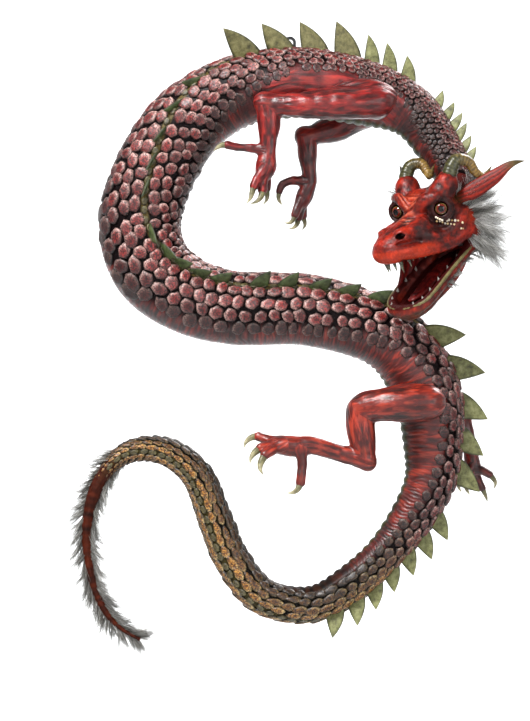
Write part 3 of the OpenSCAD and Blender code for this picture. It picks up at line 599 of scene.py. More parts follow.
def skin_material(name, roughness, coat, streaks, depth):
    """Painted latex: soft gloss, with the fine wrinkles that the moulded skin is cast with."""
    material, shader, coords, node = new_material(name, Roughness=roughness, Coat_Roughness=0.3)
    tint, lay, grain, along = (node("Attribute", attribute_name=key).outputs[out] for key, out in (
        ("tint", "Color"), ("lay", "Vector"), ("grain", "Fac"), ("along", "Fac")))
    # the paint in the joints between scales is matt
    gloss = node("Math", {0: grain, 1: coat}, use_clamp=True, **TIMES)
    dull = node("MapRange", {"Value": grain, "To Min": 0.12, "To Max": 0.5})
    # streaks across the body, and lengthwise ones where the muscle runs along it
    runs = []
    for scale, twist in ((streaks, 0.4), ((streaks[1], streaks[0], 1), 0.6)):
        turned = node("Mapping", {"Vector": lay, "Scale": scale})
        runs.append(node("TexNoise", {"Vector": turned, "Scale": 1.0, "Detail": 4.0, "Distortion": twist}))
    which = node("Mix", {0: along, 2: runs[0], 3: runs[1]})
    # painted shade and highlight: the low parts of the wrinkles, which the bump sinks, are darkened, and the raised
    # parts get a faint orange highlight
    tone = node("ValToRGB", {"Fac": which}, [
        (0.3, "#1a0504"), (0.46, "#9a5a50"), (0.56, "#ffffff"), (0.75, "#ffffff")])
    base = node("Mix", {0: node("Math", {0: grain, 1: 0.85}, **TIMES), 6: tint, 7: tone}, **STAIN)
    ridge_highlight = node("ValToRGB", {"Fac": which}, [(0.56, "#000000"), (0.72, "#ff7a50")])
    faint = node("Math", {0: grain, 1: 0.09}, **TIMES)
    base = node("Mix", {0: faint, 6: base, 7: ridge_highlight}, data_type="RGBA", blend_type="ADD")
    # pores about 0.7 mm apart
    pores = node("TexNoise", {"Vector": coords, "Scale": 1400, "Detail": 3.0})
    fine = node("Bump", {"Height": pores, "Strength": 0.35, "Distance": 0.0003})
    relief = node("Bump", {"Height": which, "Strength": depth, "Distance": 0.0006, "Normal": fine})
    feed(shader, {"Coat Weight": gloss, "Specular IOR Level": dull, "Base Color": base, "Normal": relief})
    return material


# ---------- scales ----------
def scale_mesh(name, seed, pointed):
    """One scale of unit size: a dome on an uneven base, x towards the tail and z outwards."""
    rng = np.random.default_rng(seed)
    sides = 12
    a = np.linspace(0, 2 * pi, sides, endpoint=False)
    if pointed:
        reach = 0.92 / (np.abs(np.cos(a)) ** 1.5 + np.abs(np.sin(a)) ** 1.5) ** (1 / 1.5)
        reach = reach * (1 + 0.28 * smooth(0.6, 1, np.cos(a))) * (1 - 0.12 * smooth(0.5, 1, -np.cos(a)))
    else:
        count = rng.choice([5, 6, 6])
        corner = rng.uniform(0, 2 * pi / count)
        wedge = (a + corner) % (2 * pi / count) - pi / count
        lobe = 1 + 0.12 * np.cos(a - rng.uniform(0, 6.28)) + 0.07 * np.cos(2 * a - rng.uniform(0, 6.28))
        reach = 0.93 * lobe * cos(pi / count) ** 0.5 / np.cos(wedge)
    reach = reach * (1 + rng.uniform(-0.05, 0.05, sides))
    tilt_a, tilt_b = rng.uniform(-0.22, 0.22, 2)
    profile = [(1.0, -0.6), (1.0, 0.25), (0.93, 0.7), (0.78, 0.97), (0.42, 1.05)]
    points, lift, rim = [], [], []
    for k, (w, h) in enumerate(profile):
        for i in range(sides):
            x, y = w * reach[i] * cos(a[i]), w * reach[i] * sin(a[i])
            z = h + (rng.uniform(-0.1, 0.1) + tilt_a * x + tilt_b * y if k > 1 else 0)
            if pointed:
                z = z * (0.72 + 0.38 * x)
            points.append((x, y, z))
            # lift darkens the sides of the scale towards its foot as painted shade
            lift.append(max(h, 0))
            # rim carries a painted highlight, strongest on the side towards the head
            toward_head = 0.5 - 0.5 * cos(a[i])
            rim.append([0, 0.1, 1.0, 0.85, 0.12][k] * (0.08 + 0.92 * toward_head ** 1.7))
    points.append((0, 0, 0.9 if not pointed else 0.78))
    lift.append(0.9)
    rim.append(0.0)
    faces = [list(f) for f in grid_faces(len(profile), sides)]
    top = len(profile) - 1
    faces += [[top * sides + i, top * sides + (i + 1) % sides, len(points) - 1] for i in range(sides)]
    faces.append(list(range(sides - 1, -1, -1)))
    mesh = make_mesh(name, np.array(points) / MM, faces, {"lift": np.array(lift), "rim": np.array(rim)})
    return make_object(name, mesh)


def new_tree(name, **sockets):
    """A tree with the named inputs, its input node, and the function that adds nodes to it."""
    tree = bpy.data.node_groups.new(name, "GeometryNodeTree")
    for label, kind in {"Geometry": "Geometry", **sockets}.items():
        tree.interface.new_socket(name=label, in_out="INPUT", socket_type="NodeSocket" + kind)
    tree.interface.new_socket(name="Geometry", in_out="OUTPUT", socket_type="NodeSocketGeometry")
    return tree, add(tree, "NodeGroupInput").outputs, functools.partial(add, tree)


def end_tree(node, made, material):
    real = node("GeometryNodeRealizeInstances", {0: made})
    node("NodeGroupOutput", {0: node("GeometryNodeSetMaterial", {"Geometry": real, "Material": material})})


def scale_tree(name, shapes, material):
    """Sets one of the shapes on every point, turned to the point's own axes and sized by it."""
    tree, start, node = new_tree(name, Size="Float", Height="Float", Seed="Int")
    join = node("GeometryNodeJoinGeometry")
    for shape in shapes:
        info = node("GeometryNodeObjectInfo", {"Object": shape})
        single = node("GeometryNodeGeometryToInstance", {0: info.outputs["Geometry"]})
        tree.links.new(single.outputs[0], join.inputs[0])
    outward, lengthwise, span = (node("GeometryNodeInputNamedAttribute", {"Name": key},
        data_type="FLOAT_VECTOR").outputs["Attribute"]
                                 for key in ("outward", "lengthwise", "span"))
    up = node("FunctionNodeAlignRotationToVector", {"Vector": outward}, axis="Z")
    turned = node("FunctionNodeAlignRotationToVector", {"Rotation": up, "Vector": lengthwise}, axis="X", pivot_axis="Z")
    tall = node("ShaderNodeMath", {0: start["Size"], 1: start["Height"]}, **TIMES)
    sizes = node("ShaderNodeCombineXYZ", {0: start["Size"], 1: start["Size"], 2: tall})
    scale = node("ShaderNodeVectorMath", {0: span, 1: sizes}, **TIMES)
    pick = node("FunctionNodeRandomValue", data_type="INT")
    live = {socket.name: index for index, socket in enumerate(pick.inputs) if socket.enabled}
    feed(pick, {live["Min"]: 0, live["Max"]: len(shapes) - 1, live["Seed"]: start["Seed"]})
    end_tree(node, node("GeometryNodeInstanceOnPoints", {
        "Points": start["Geometry"], "Instance": join, "Pick Instance": True,
        "Instance Index": pick, "Rotation": turned, "Scale": scale}), material)
    return tree


def grown(name, seed_mesh, tree, **inputs):
    """The plain mesh that a tree makes from a seed mesh."""
    source = make_object(name + "_seed", seed_mesh)
    modifier = source.modifiers.new("grow", "NODES")
    modifier.node_group = tree
    for item in tree.interface.items_tree:
        if item.item_type == "SOCKET" and item.in_out == "INPUT" and item.name in inputs:
            modifier[item.identifier] = inputs[item.name]
    graph = bpy.context.evaluated_depsgraph_get()
    mesh = bpy.data.meshes.new_from_object(source.evaluated_get(graph), preserve_all_data_layers=True, depsgraph=graph)
    source.modifiers.remove(modifier)
    bpy.data.objects.remove(source)
    mesh.name = name
    if not len(mesh.polygons):
        raise RuntimeError(f"{name}: the tree made nothing")
    obj = bpy.data.objects.new(name, mesh)
    bpy.context.scene.collection.objects.link(obj)
    return obj


def point_mesh(name, points, edges=(), **attributes):
    mesh = bpy.data.meshes.new(name)
    mesh.from_pydata((np.asarray(points, float) * MM).tolist(), list(edges), [])
    for key, value in attributes.items():
        set_attribute(mesh, key, value)
    return mesh


def scale_points(seed):
    """Where the scales go: place, size, tone and hue, in rows on both sides of the back line."""
    rng = np.random.default_rng(seed)
    t = np.linspace(0.02, 25.0, 4000)
    turns = np.concatenate([[0], np.cumsum(np.diff(arc_of(t)) / scale_pitch(0.5 * (t[1:] + t[:-1])))])
    rows = []
    for side in (-1, 1):
        for m in range(12):
            count = np.arange(0.3 + 0.5 * (m % 2) + (0.25 if side > 0 else 0), turns[-1], 1.0)
            count = count + rng.uniform(-0.13, 0.13, len(count))
            at = np.interp(count, turns, t)
            pitch, share = scale_pitch(at), scale_share(at)
            reach = strip_half(at) + (m + 0.5 + rng.uniform(-0.1, 0.1, len(at))) * pitch * share
            r = rows_at(SPINE, at)[:, 3] - 0.7
            angle = side * reach / r
            keep = np.abs(np.degrees(angle)) < scale_limit(at) + 6
            for x in np.nonzero(keep)[0]:
                rows.append((at[x], angle[x], pitch[x], share[x], m, rng.random(), rng.uniform(0.8, 1.12),
                    rng.uniform(0.84, 1.1)))
    return np.array(rows)


def scale_material():
    """Cast resin scales: dark in the joints, with a painted pink highlight on the raised rims, strongest on the side
    towards the head, under satin lacquer.
    """
    material, shader, coords, node = new_material("painted_resin_scale", Roughness=0.4, Coat_Weight=0.12,
        Coat_Roughness=0.2)
    lift, rim, tone, hue = (node("Attribute", attribute_name=key).outputs["Fac"]
        for key in ("lift", "rim", "tone", "hue"))
    # speckle about 0.7 mm across
    speckle = node("TexNoise", {"Vector": coords, "Scale": 1300, "Detail": 3.0, "Roughness": 0.65})
    broken = node("MapRange", {"Value": speckle, "From Min": 0.36, "From Max": 0.62})
    dust = node("Math", {0: 0.45, 1: node("Math", {0: broken, 1: 0.55}, **TIMES)}, operation="ADD")
    level = node("Math", {0: lift, 1: dust}, **TIMES)
    # painted shade: each scale runs from red at its top to near black at its foot, where it sinks between its
    # neighbours
    red, gold, olive = (node("ValToRGB", {"Fac": level}, stops) for stops in (
        [(0.0, "#040101"), (0.45, "#1e0405"), (0.75, "#570c0d"), (1.0, "#9c201a")],
        [(0.0, "#030201"), (0.45, "#1c0e05"), (0.75, "#6a3a10"), (1.0, "#c48a34")],
        [(0.0, "#0c0a05"), (0.5, "#3a331b"), (1.0, "#6b6038")]))
    is_gold, is_olive = (node("MapRange", {"Value": hue, "From Min": low, "From Max": high})
                         for low, high in ((0.1, 0.5), (0.6, 0.9)))
    base = node("Mix", {0: is_olive, 6: node("Mix", {0: is_gold, 6: red, 7: gold}, **BLEND), 7: olive}, **BLEND)
    dim = node("ValToRGB", {"Fac": tone}, [(0.0, "#2a2220"), (0.5, "#9a9090"), (1.0, "#ffffff")])
    base = node("Mix", {0: 1.0, 6: base, 7: dim}, **STAIN)
    highlight_colour = node("Mix", {0: is_gold, 6: srgb("#ffd2c6"), 7: srgb("#ffe2a0")}, **BLEND)
    highlight_colour = node("Mix", {0: is_olive, 6: highlight_colour, 7: srgb("#8c8455")}, **BLEND)
    # the painted highlight covers most of the rim but not all of it
    highlight_weight = node("Math", {0: rim, 1: broken}, **TIMES)
    highlight_weight = node("Math", {0: highlight_weight, 1: node("Math", {0: tone, 1: 0.95}, **TIMES)}, use_clamp=True, **TIMES)
    highlight_weight = node("Math", {0: highlight_weight, 1: 0.95}, **TIMES)
    feed(shader, {"Base Color": node("Mix", {0: highlight_weight, 6: base, 7: highlight_colour}, **BLEND),
                  "Normal": node("Bump", {"Height": speckle, "Strength": 0.5, "Distance": 0.0005})})
    return material


# ---------- fins ----------
FIN_ROWS = [(0.35, 1.85, 6, 7.0), (2.15, 3.1, 3, 11.0), (3.1, 4.85, 4, 14.5), (5.15, 6.85, 5, 4.0),
    (7.15, 9.85, 5, 8.0),
            (10.15, 11.85, 5, 9.0), (12.2, 14.85, 5, 12.0), (15.15, 17.85, 7, 9.0)]


def fin_mesh():
    """A fin of unit base and height that leans to +x: bowed in front, hollow behind, thin at the edge."""
    up, across = 16, 10
    v = np.linspace(-0.2, 1, up)
    u = np.linspace(0, 1, across)
    w = np.maximum(v, 0)
    lead = table(-0.5 + 0.6 * w + 0.55 * w ** 2, np.where(v < 0, v, v + 0.35 * w * (1 - w)))
    trail = table(0.5 + 0.26 * w - 0.11 * w ** 2, v)
    flat = lead[:, None] * (1 - u)[None, :, None] + trail[:, None] * u[None, :, None]
    body = (np.sqrt(np.clip(4 * u * (1 - u), 0, 1)) ** 0.7)[None, :] * (1 - 0.8 * w ** 1.4)[:, None]
    rib = 1 + 0.16 * np.cos(u * 6 * pi)[None, :] * (1 - w)[:, None]
    thick = 0.5 * body * rib + 0.04
    points, edge, rise = [], [], []
    for face in (1, -1):
        points.append(table(flat[..., 0], face * thick, flat[..., 1]).reshape(-1, 3))
        edge.append(np.broadcast_to(np.minimum(u, 1 - u) * 2, (up, across)).ravel() * np.repeat(1 - 0.5 * w, across))
        rise.append(np.repeat(w, across))
    sheet = grid_faces(up, across, wrap=False)
    n = up * across
    faces = [list(f) for f in sheet] + [list(f[::-1] + n) for f in sheet]
    border = sheet_border(up, across)
    faces += [[a, b, b + n, a + n] for a, b in zip(border, border[1:] + border[:1])]
    mesh = make_mesh("fin_shape", np.vstack(points) / MM, faces,
        {"edge": np.concatenate(edge), "rise": np.concatenate(rise)})
    obj = make_object("fin_shape", mesh)
    turn_outwards(obj)
    return obj


def fin_material():
    """Moulded vinyl: matt khaki, sponged darker, with a dark line along the thin edge."""
    material, shader, coords, node = new_material("moulded_vinyl_fin", Roughness=0.5)
    # blotches about 3 mm across over a 0.6 mm grain
    blotch = node("TexNoise", {"Vector": coords, "Scale": 330, "Detail": 5.0, "Roughness": 0.7})
    grain = node("TexNoise", {"Vector": coords, "Scale": 1700, "Detail": 2.0})
    shade = node("ValToRGB", {"Fac": blotch}, [(0.32, "#5c5a4c"), (0.5, "#c8c8b4"), (0.66, "#ffffff")])
    base = node("Mix", {0: 0.9, 6: node("Attribute", attribute_name="tone"), 7: shade}, **STAIN)
    edge = node("Attribute", attribute_name="edge").outputs["Fac"]
    line = node("ValToRGB", {"Fac": edge}, [(0.02, "#ffffff"), (0.2, "#000000")])
    base = node("Mix", {0: node("Math", {0: line, 1: 0.8}, **TIMES), 6: base, 7: srgb("#20200f")}, **BLEND)
    coarse = node("Bump", {"Height": blotch, "Strength": 0.4, "Distance": 0.0008})
    feed(shader, {"Base Color": base, "Normal": node("Bump", {
        "Height": grain, "Strength": 0.3, "Distance": 0.0004, "Normal": coarse})})
    return material


# ---------- limbs ----------
# Rows of x, y, z, radius in mm. A joint is where one part's last row is the next part's first.
# shade scales the colour of each leg as painted light and shade, dimming the far legs
LIMBS = {
    "near_front": {
        "parts": ("upper_arm", "forearm", "foot"), "shade": 1.0, "warm": 0.0,
        "upper": [[40.7, -20, -30, 6.8], [28, -24.4, -31, 6.4], [8, -25, -31.5, 5.8], [-11, -22.5, -31, 4.2]],
        "lower": [[-11, -22.5, -31, 4.0], [-10.3, -22.5, -42, 3.9], [-10.5, -22.5, -53, 2.9]],
        "palm": [[-10.5, -22.5, -53, 3.0], [-11.5, -22.5, -59, 3.7], [-12.5, -22.5, -63.5, 3.0]],
        "toes": [
            [[-11, -22.5, -52.5, 2.6], [-18, -23, -51.5, 1.7], [-25, -23.5, -51, 1.4], [-29.5, -24, -50, 1.5]],
            [[-13, -24.5, -62, 2.0], [-15.5, -26.5, -66, 1.6], [-17, -27.5, -69.5, 1.6]],
            [[-12, -23, -62, 2.0], [-12.8, -23.5, -67, 1.6], [-13, -24.5, -71, 1.7]],
            [[-11.5, -20.5, -62, 1.9], [-11, -19.5, -67, 1.5], [-11.2, -20, -70.5, 1.5]]],
        "claws": [
            [[-29.8, -24, -49.9, 1.5], [-32.5, -24.4, -50.4, 1.2], [-34.4, -24.8, -51.6, 0.7], [-35.8, -25, -53, 0.1]],
            [[-17.2, -27.8, -69.9, 1.5], [-18, -29, -73, 1.2], [-18.8, -29.8, -75.4, 0.8], [-20.6, -30, -77.8, 0.1]],
            [[-13.1, -24.8, -71.4, 1.6], [-13.8, -26.2, -74.4, 1.3], [-15.8, -27.2, -76.6, 0.8],
                [-19, -27.5, -77.8, 0.1]],
            [[-11.2, -20.2, -70.9, 1.4], [-10.8, -21.4, -73.6, 1.1], [-11.2, -22.6, -75.8, 0.7],
                [-12.8, -23, -78, 0.1]]],
        "balls": [((34, -18, -27), (16, 5.5, 8.5)), ((20, -22.5, -30), (15, 6, 6.8)),
            ((-12.5, -22.5, -29.5), (4.6, 4.4, 4.4)),
                  ((-9.4, -22.5, -39), (4.4, 4.4, 7)), ((-11, -22.5, -60), (3.9, 4.2, 4.5))],
        "cuts": (((14, 0, -31), (-1, 0, 0)), ((-10, 0, -42.5), (0, 0, -1))),
        "bends": (((-11, -31), (-0.72, -0.69), 5.5), ((-10.5, -53), (-0.75, -0.66), 4.5)),
    },
    "far_front": {
        "parts": ("upper_arm", "forearm", "foot"), "shade": 0.72, "warm": 0.1,
        "upper": [[40.7, 20, -30, 6.6], [30, 23.5, -36, 5.8], [20, 23, -40.5, 5.2], [8, 21.5, -43.5, 3.8]],
        "lower": [[8, 21.5, -43.5, 3.6], [8.6, 21, -54, 3.4], [9.8, 21, -65, 2.6]],
        "palm": [[9.8, 21, -65, 2.7], [7.5, 21, -71, 3.2], [5.5, 21, -76, 2.7]],
        "toes": [
            [[9, 21, -65.5, 2.2], [2, 20.5, -64.6, 1.6], [-3.5, 20, -66.5, 1.4], [-5, 20, -70, 1.3]],
            [[4.8, 19, -75, 1.8], [3.4, 17.5, -78.5, 1.5], [2.4, 17, -81.5, 1.4]],
            [[5.2, 21, -75, 1.9], [4.6, 21.2, -79.5, 1.6], [4.2, 21.5, -82.5, 1.5]],
            [[6, 23, -75, 1.8], [6.2, 24.5, -78.5, 1.5], [6.4, 25, -81.5, 1.4]]],
        "claws": [
            [[-5.1, 20, -70.4, 1.3], [-5.4, 20, -72.8, 1.0], [-4.8, 20, -74.8, 0.7], [-3.4, 20, -76.5, 0.1]],
            [[2.3, 16.9, -82, 1.3], [1.2, 15.8, -84.2, 1.0], [-0.4, 15.2, -85.2, 0.7], [-2.6, 15, -85, 0.1]],
            [[4.1, 21.5, -83, 1.4], [3.4, 21.2, -85.6, 1.1], [1.8, 20.8, -87.2, 0.7], [-0.8, 20.5, -88, 0.1]],
            [[6.5, 25.1, -82, 1.3], [7.2, 25, -84.4, 1.0], [7.2, 24.8, -86.2, 0.7], [6, 24.5, -88.2, 0.1]]],
        "balls": [((33, 19, -32), (12, 6, 7)), ((20, 22.5, -40), (9, 4.5, 5.2)), ((6.6, 21.5, -43), (4.2, 4, 4.2)),
                  ((8.4, 21, -51), (3.8, 4, 6))],
        "cuts": (((20, 0, -40), (-0.97, 0, -0.24)), ((8.6, 0, -54), (0, 0, -1))),
        "bends": (((8, -43.5), (-0.7, -0.71), 5.0), ((9.8, -65), (-0.75, -0.66), 4.0)),
    },
    "near_hind": {
        "parts": ("thigh", "shin", "foot"), "shade": 1.05, "warm": 0.7,
        "upper": [[65, -20.5, -170.5, 7.4], [54, -21.5, -171, 7.6], [44, -21, -171.5, 7.2], [33, -18.6, -173.4, 5.4]],
        "lower": [[31.8, -18, -174, 5.2], [33.4, -18, -185, 5.8], [35.2, -18, -196.4, 4.2]],
        "palm": [[35.2, -18, -197.4, 4.0], [22, -18, -194.0, 3.5], [10, -18, -190.6, 3.7], [1, -18, -191.2, 4.0],
            [-8, -18, -190, 3.0]],
        "toes": [
            [[-6, -17, -189, 2.3], [-11, -16, -188, 1.8], [-15, -15, -186.5, 1.7]],
            [[-7, -19, -190.5, 2.3], [-11, -21, -191, 1.8], [-14, -22.5, -191.8, 1.8]],
            [[-5, -20, -191, 2.3], [-9, -24, -193, 1.8], [-12, -26, -195, 1.8]],
            [[5, -19, -193, 2.6], [5.6, -19.5, -199, 1.8], [5.2, -20, -204, 1.7], [4.8, -20.4, -208, 1.7]]],
        "claws": [
            [[-15.6, -14.9, -186.4, 1.7], [-18.6, -15, -187.2, 1.4], [-20.8, -15.6, -189.2, 0.9],
                [-21.8, -16, -192, 0.1]],
            [[-14.5, -22.8, -192.2, 1.8], [-16.8, -24, -194, 1.5], [-18.4, -24.8, -196.4, 0.9],
                [-18.9, -25, -199.2, 0.1]],
            [[-12.3, -26.4, -195.6, 1.8], [-13.8, -27.8, -198.6, 1.5], [-14, -28.6, -201.4, 1.0],
                [-12.7, -29, -204.2, 0.1]],
            [[4.6, -20.5, -208.6, 1.7], [3.4, -20.8, -211.2, 1.3], [1.2, -21, -212.6, 0.9], [-1.8, -21, -212.8, 0.1]]],
        "balls": [((56, -19.5, -170.5), (14, 6.5, 8.8)), ((37, -19.5, -172), (7.5, 5.5, 6.8)),
            ((32.8, -18, -183), (5.2, 5.2, 7.5)),
                  ((36.6, -18, -199), (3.6, 4, 3.6)), ((-2, -18.5, -190.5), (6, 5, 3.8))],
        "cuts": (((47, 0, -171), (-1, 0, 0)), ((33, 0, -183.5), (0, 0, -1))),
        "bends": (((31.5, -172.5), (-0.45, -0.893), 6.5), ((34.8, -197), (-0.73, -0.683), 5.0)),
    },
    "far_hind": {
        "parts": ("thigh", "shin", "foot"), "shade": 0.6, "warm": 0.3,
        "upper": [[65, 20.5, -170.5, 6.8], [70, 21.5, -171.6, 6.6], [76, 21, -173.6, 5.6], [81.5, 19, -176, 3.8]],
        "lower": [[81.5, 19, -176, 3.6], [84.5, 19, -186, 3.2], [86.5, 19, -196, 2.3]],
        "palm": [[86.5, 19, -196, 2.4], [87.4, 19, -200, 2.9], [88, 19, -203, 2.5]],
        "toes": [
            [[88, 18, -202.5, 2.0], [92, 17, -203.4, 1.5], [95.6, 16.5, -205.4, 1.4]],
            [[88, 20, -203, 1.9], [90, 21, -207.5, 1.4], [92.2, 21.5, -212, 1.3]],
            [[87, 20.5, -202, 1.9], [83.6, 22, -205, 1.4], [81.4, 22.5, -208, 1.3]],
            [[86.6, 17.6, -202, 1.8], [84.4, 15.6, -205.6, 1.4], [84, 14.6, -209, 1.3]]],
        "claws": [
            [[96, 16.4, -205.8, 1.4], [97.6, 16, -207.8, 1.1], [98.2, 15.8, -209.8, 0.7], [97.4, 15.6, -212.2, 0.1]],
            [[92.4, 21.5, -212.4, 1.3], [93.4, 21.6, -214.6, 1.0], [94.1, 21.5, -216.4, 0.7],
                [94.7, 21.4, -218.6, 0.1]],
            [[81.2, 22.6, -208.4, 1.3], [80.9, 22.9, -210.4, 1.0], [81.2, 23, -212, 0.7], [82.3, 23, -214, 0.1]],
            [[84, 14.5, -209.4, 1.3], [84.1, 14, -211.4, 1.0], [84.8, 13.7, -213.2, 0.7], [86.1, 13.6, -215, 0.1]]],
        "balls": [((69, 20, -171), (9, 6, 7.5)), ((82, 19, -177), (4, 4, 4))],
        "cuts": (((74, 0, -173), (0.9, 0, -0.43)), ((84.5, 0, -186.5), (0, 0, -1))),
        "bends": (((81.5, -176), (0.6, -0.8), 4.5), ((86.5, -196), (0.1, -0.995), 3.5)),
    },
}


def limb_lines(limb):
    return [limb["upper"], limb["lower"], limb["palm"]] + limb["toes"]


def lay_along(points, lines):
    """For each point, the distance along the nearest line and the distance round it, in mm."""
    spots, dirs, marks, start = [], [], [], 0.0
    for rows in lines:
        line = rows_at(rows, np.linspace(0, len(rows) - 1, 12 * len(rows)))[:, :3]
        step = np.concatenate([[0], np.cumsum(norms(np.diff(line, axis=0)))])
        spots.append(line)
        dirs.append(unit(np.gradient(line, axis=0)))
        marks.append(start + step)
        start += step[-1] if rows is not lines[-1] else 0
    spots, dirs, marks = np.vstack(spots), np.vstack(dirs), np.concatenate(marks)
    best = np.zeros(len(points), int)
    for a in range(0, len(points), 4000):
        gap = ((points[a:a + 4000, None] - spots[None]) ** 2).sum(-1)
        best[a:a + 4000] = gap.argmin(1)
    away = points - spots[best]
    along = marks[best] + np.einsum("ij,ij->i", away, dirs[best])
    side = unit(np.cross(dirs[best], FRONT + 0.05))
    front = np.cross(side, dirs[best])
    turn = np.arctan2(np.einsum("ij,ij->i", away, side), np.einsum("ij,ij->i", away, front))
    return along, np.abs(turn) * norms(away)


def sculpt_limb(limb, step):
    lines = np.vstack([np.array(rows, float) for rows in limb_lines(limb)])[:, :3]
    clay = Clay(lines.min(0) - 12, lines.max(0) + 12, step)
    clay.chain(limb["upper"], 2.0)
    root = limb["upper"][0]
    clay.rod((root[0], root[1] * 0.5, root[2]), root[:3], 7.4, 7.2, 2.0)
    clay.chain(limb["lower"], 2.5)
    clay.chain(limb["palm"], 2.0)
    for toe in limb["toes"]:
        clay.chain(toe, 1.6)
        for knuckle in toe[1:]:
            clay.ball(knuckle[:3], knuckle[3] * 1.22, 0.8)
    for centre, radius in limb["balls"]:
        clay.ball(centre, radius, 2.8)
    points, faces, normals = clay.surface()
    along, around = lay_along(points, limb_lines(limb))
    strand = rough_noise(table(along / 6.5, around / 1.35, along * 0), 41)
    fine = rough_noise(points / 1.1, 43, 2)
    points = points + normals * (0.3 * strand + 0.06 * fine)[:, None] + PLANE
    # painted highlight and shade: the red is lighter where the strands stand out and darker between them
    cool = blotched("#3c0608", "#9c1c18", 0.52 + 0.8 * strand)
    warm = blotched("#3e0c07", "#a83418", 0.5 + 0.8 * strand)
    # painted shade: the far legs are dimmed by their shade factor
    tint = (cool * (1 - limb["warm"]) + warm * limb["warm"]) * limb["shade"]
    patch = smooth(0.05, 0.6, rough_noise(points / 11, 47))
    tint = mixed(tint, tint * 0.42, 0.65 * patch)
    # the skin that faces downwards is painted darker, as painted shade
    tint = mixed(tint, tint * 0.4, 0.6 * smooth(0.2, 0.9, -normals[:, 2]))
    values = {"tint": tint, "lay": table(along, around, along * 0), "grain": np.full(len(points), 0.9),
        "along": np.ones(len(points))}
    return points, faces, shell_normals(points, faces), values


def claw_parts(rows_list):
    parts = []
    for rows in rows_list:
        rows = np.array(rows, float)
        rows[:, :3] += PLANE
        points, faces, t, a = tube_points(rows, 12, 6, groove=lambda t, a, r: r * (1 + 0.05 * np.cos(2 * a)))
        parts.append((points, faces, {"place": t / (len(rows) - 1)}))
    return joined(parts)


def horn_material(name, stops, rough, ring_scale):
    """Cast polyester resin stained like horn: fine growth rings under a satin varnish."""
    material, shader, coords, node = new_material(name, Roughness=rough, Coat_Weight=0.25, Coat_Roughness=0.3)
    place = node("Attribute", attribute_name="place").outputs["Fac"]
    # clouds about 2 mm across
    cloud = node("TexNoise", {"Vector": coords, "Scale": 450, "Detail": 4.0})
    drift = node("Math", {0: cloud, 1: 0.5}, operation="SUBTRACT")
    shifted = node("Math", {0: place, 1: node("Math", {0: drift, 1: 0.3}, **TIMES)}, operation="ADD")
    rings = node("TexWave", {
        "Vector": node("CombineXYZ", {0: place}), "Scale": ring_scale, "Distortion": 1.5}).outputs["Fac"]
    base = node("ValToRGB", {"Fac": shifted}, stops)
    for weight, pattern, dark in ((0.55, rings, [(0.0, "#8a8478"), (0.6, "#ffffff")]),
        (0.6, cloud, [(0.35, "#77705e"), (0.6, "#ffffff")])):
        base = node("Mix", {0: weight, 6: base, 7: node("ValToRGB", {"Fac": pattern}, dark)}, **STAIN)
    soft = node("Bump", {"Height": cloud, "Strength": 0.3, "Distance": 0.0004})
    feed(shader, {"Base Color": base, "Normal": node("Bump", {
        "Height": rings, "Strength": 0.35, "Distance": 0.0004, "Normal": soft})})
    return material


# ---------- the head ----------
# In the head's frame: forward, left and up in mm from midway between the eyes.
HEAD = np.array([61.3, -26.0, -80.5]) + PLANE
_yaw, _pitch = radians(-140), radians(15)
HEAD_AXES = np.array([
    [cos(_yaw) * cos(_pitch), sin(_yaw) * cos(_pitch), -sin(_pitch)],
    [-sin(_yaw), cos(_yaw), 0],
    [cos(_yaw) * sin(_pitch), sin(_yaw) * sin(_pitch), cos(_pitch)],
])
EYES = {1: np.array([-1.0, 12.2, 0.2]), -1: np.array([5.0, -9.6, 0.8])}
EYE_R = 3.7
GAZE = {1: unit([0.62, 0.77, 0.06]), -1: unit([0.93, 0.2, 0.1])}


def from_head(points):
    return HEAD + np.asarray(points, float) @ HEAD_AXES


def turned_from_head(vectors):
    return np.asarray(vectors, float) @ HEAD_AXES


def ring_round(centre, axis, radius):
    side = unit(np.cross(axis, [0, 0, 1]))
    up = np.cross(side, axis)
    a = np.linspace(0, 2 * pi, 18)
    return np.asarray(centre) + radius * (np.cos(a)[:, None] * side + np.sin(a)[:, None] * up)


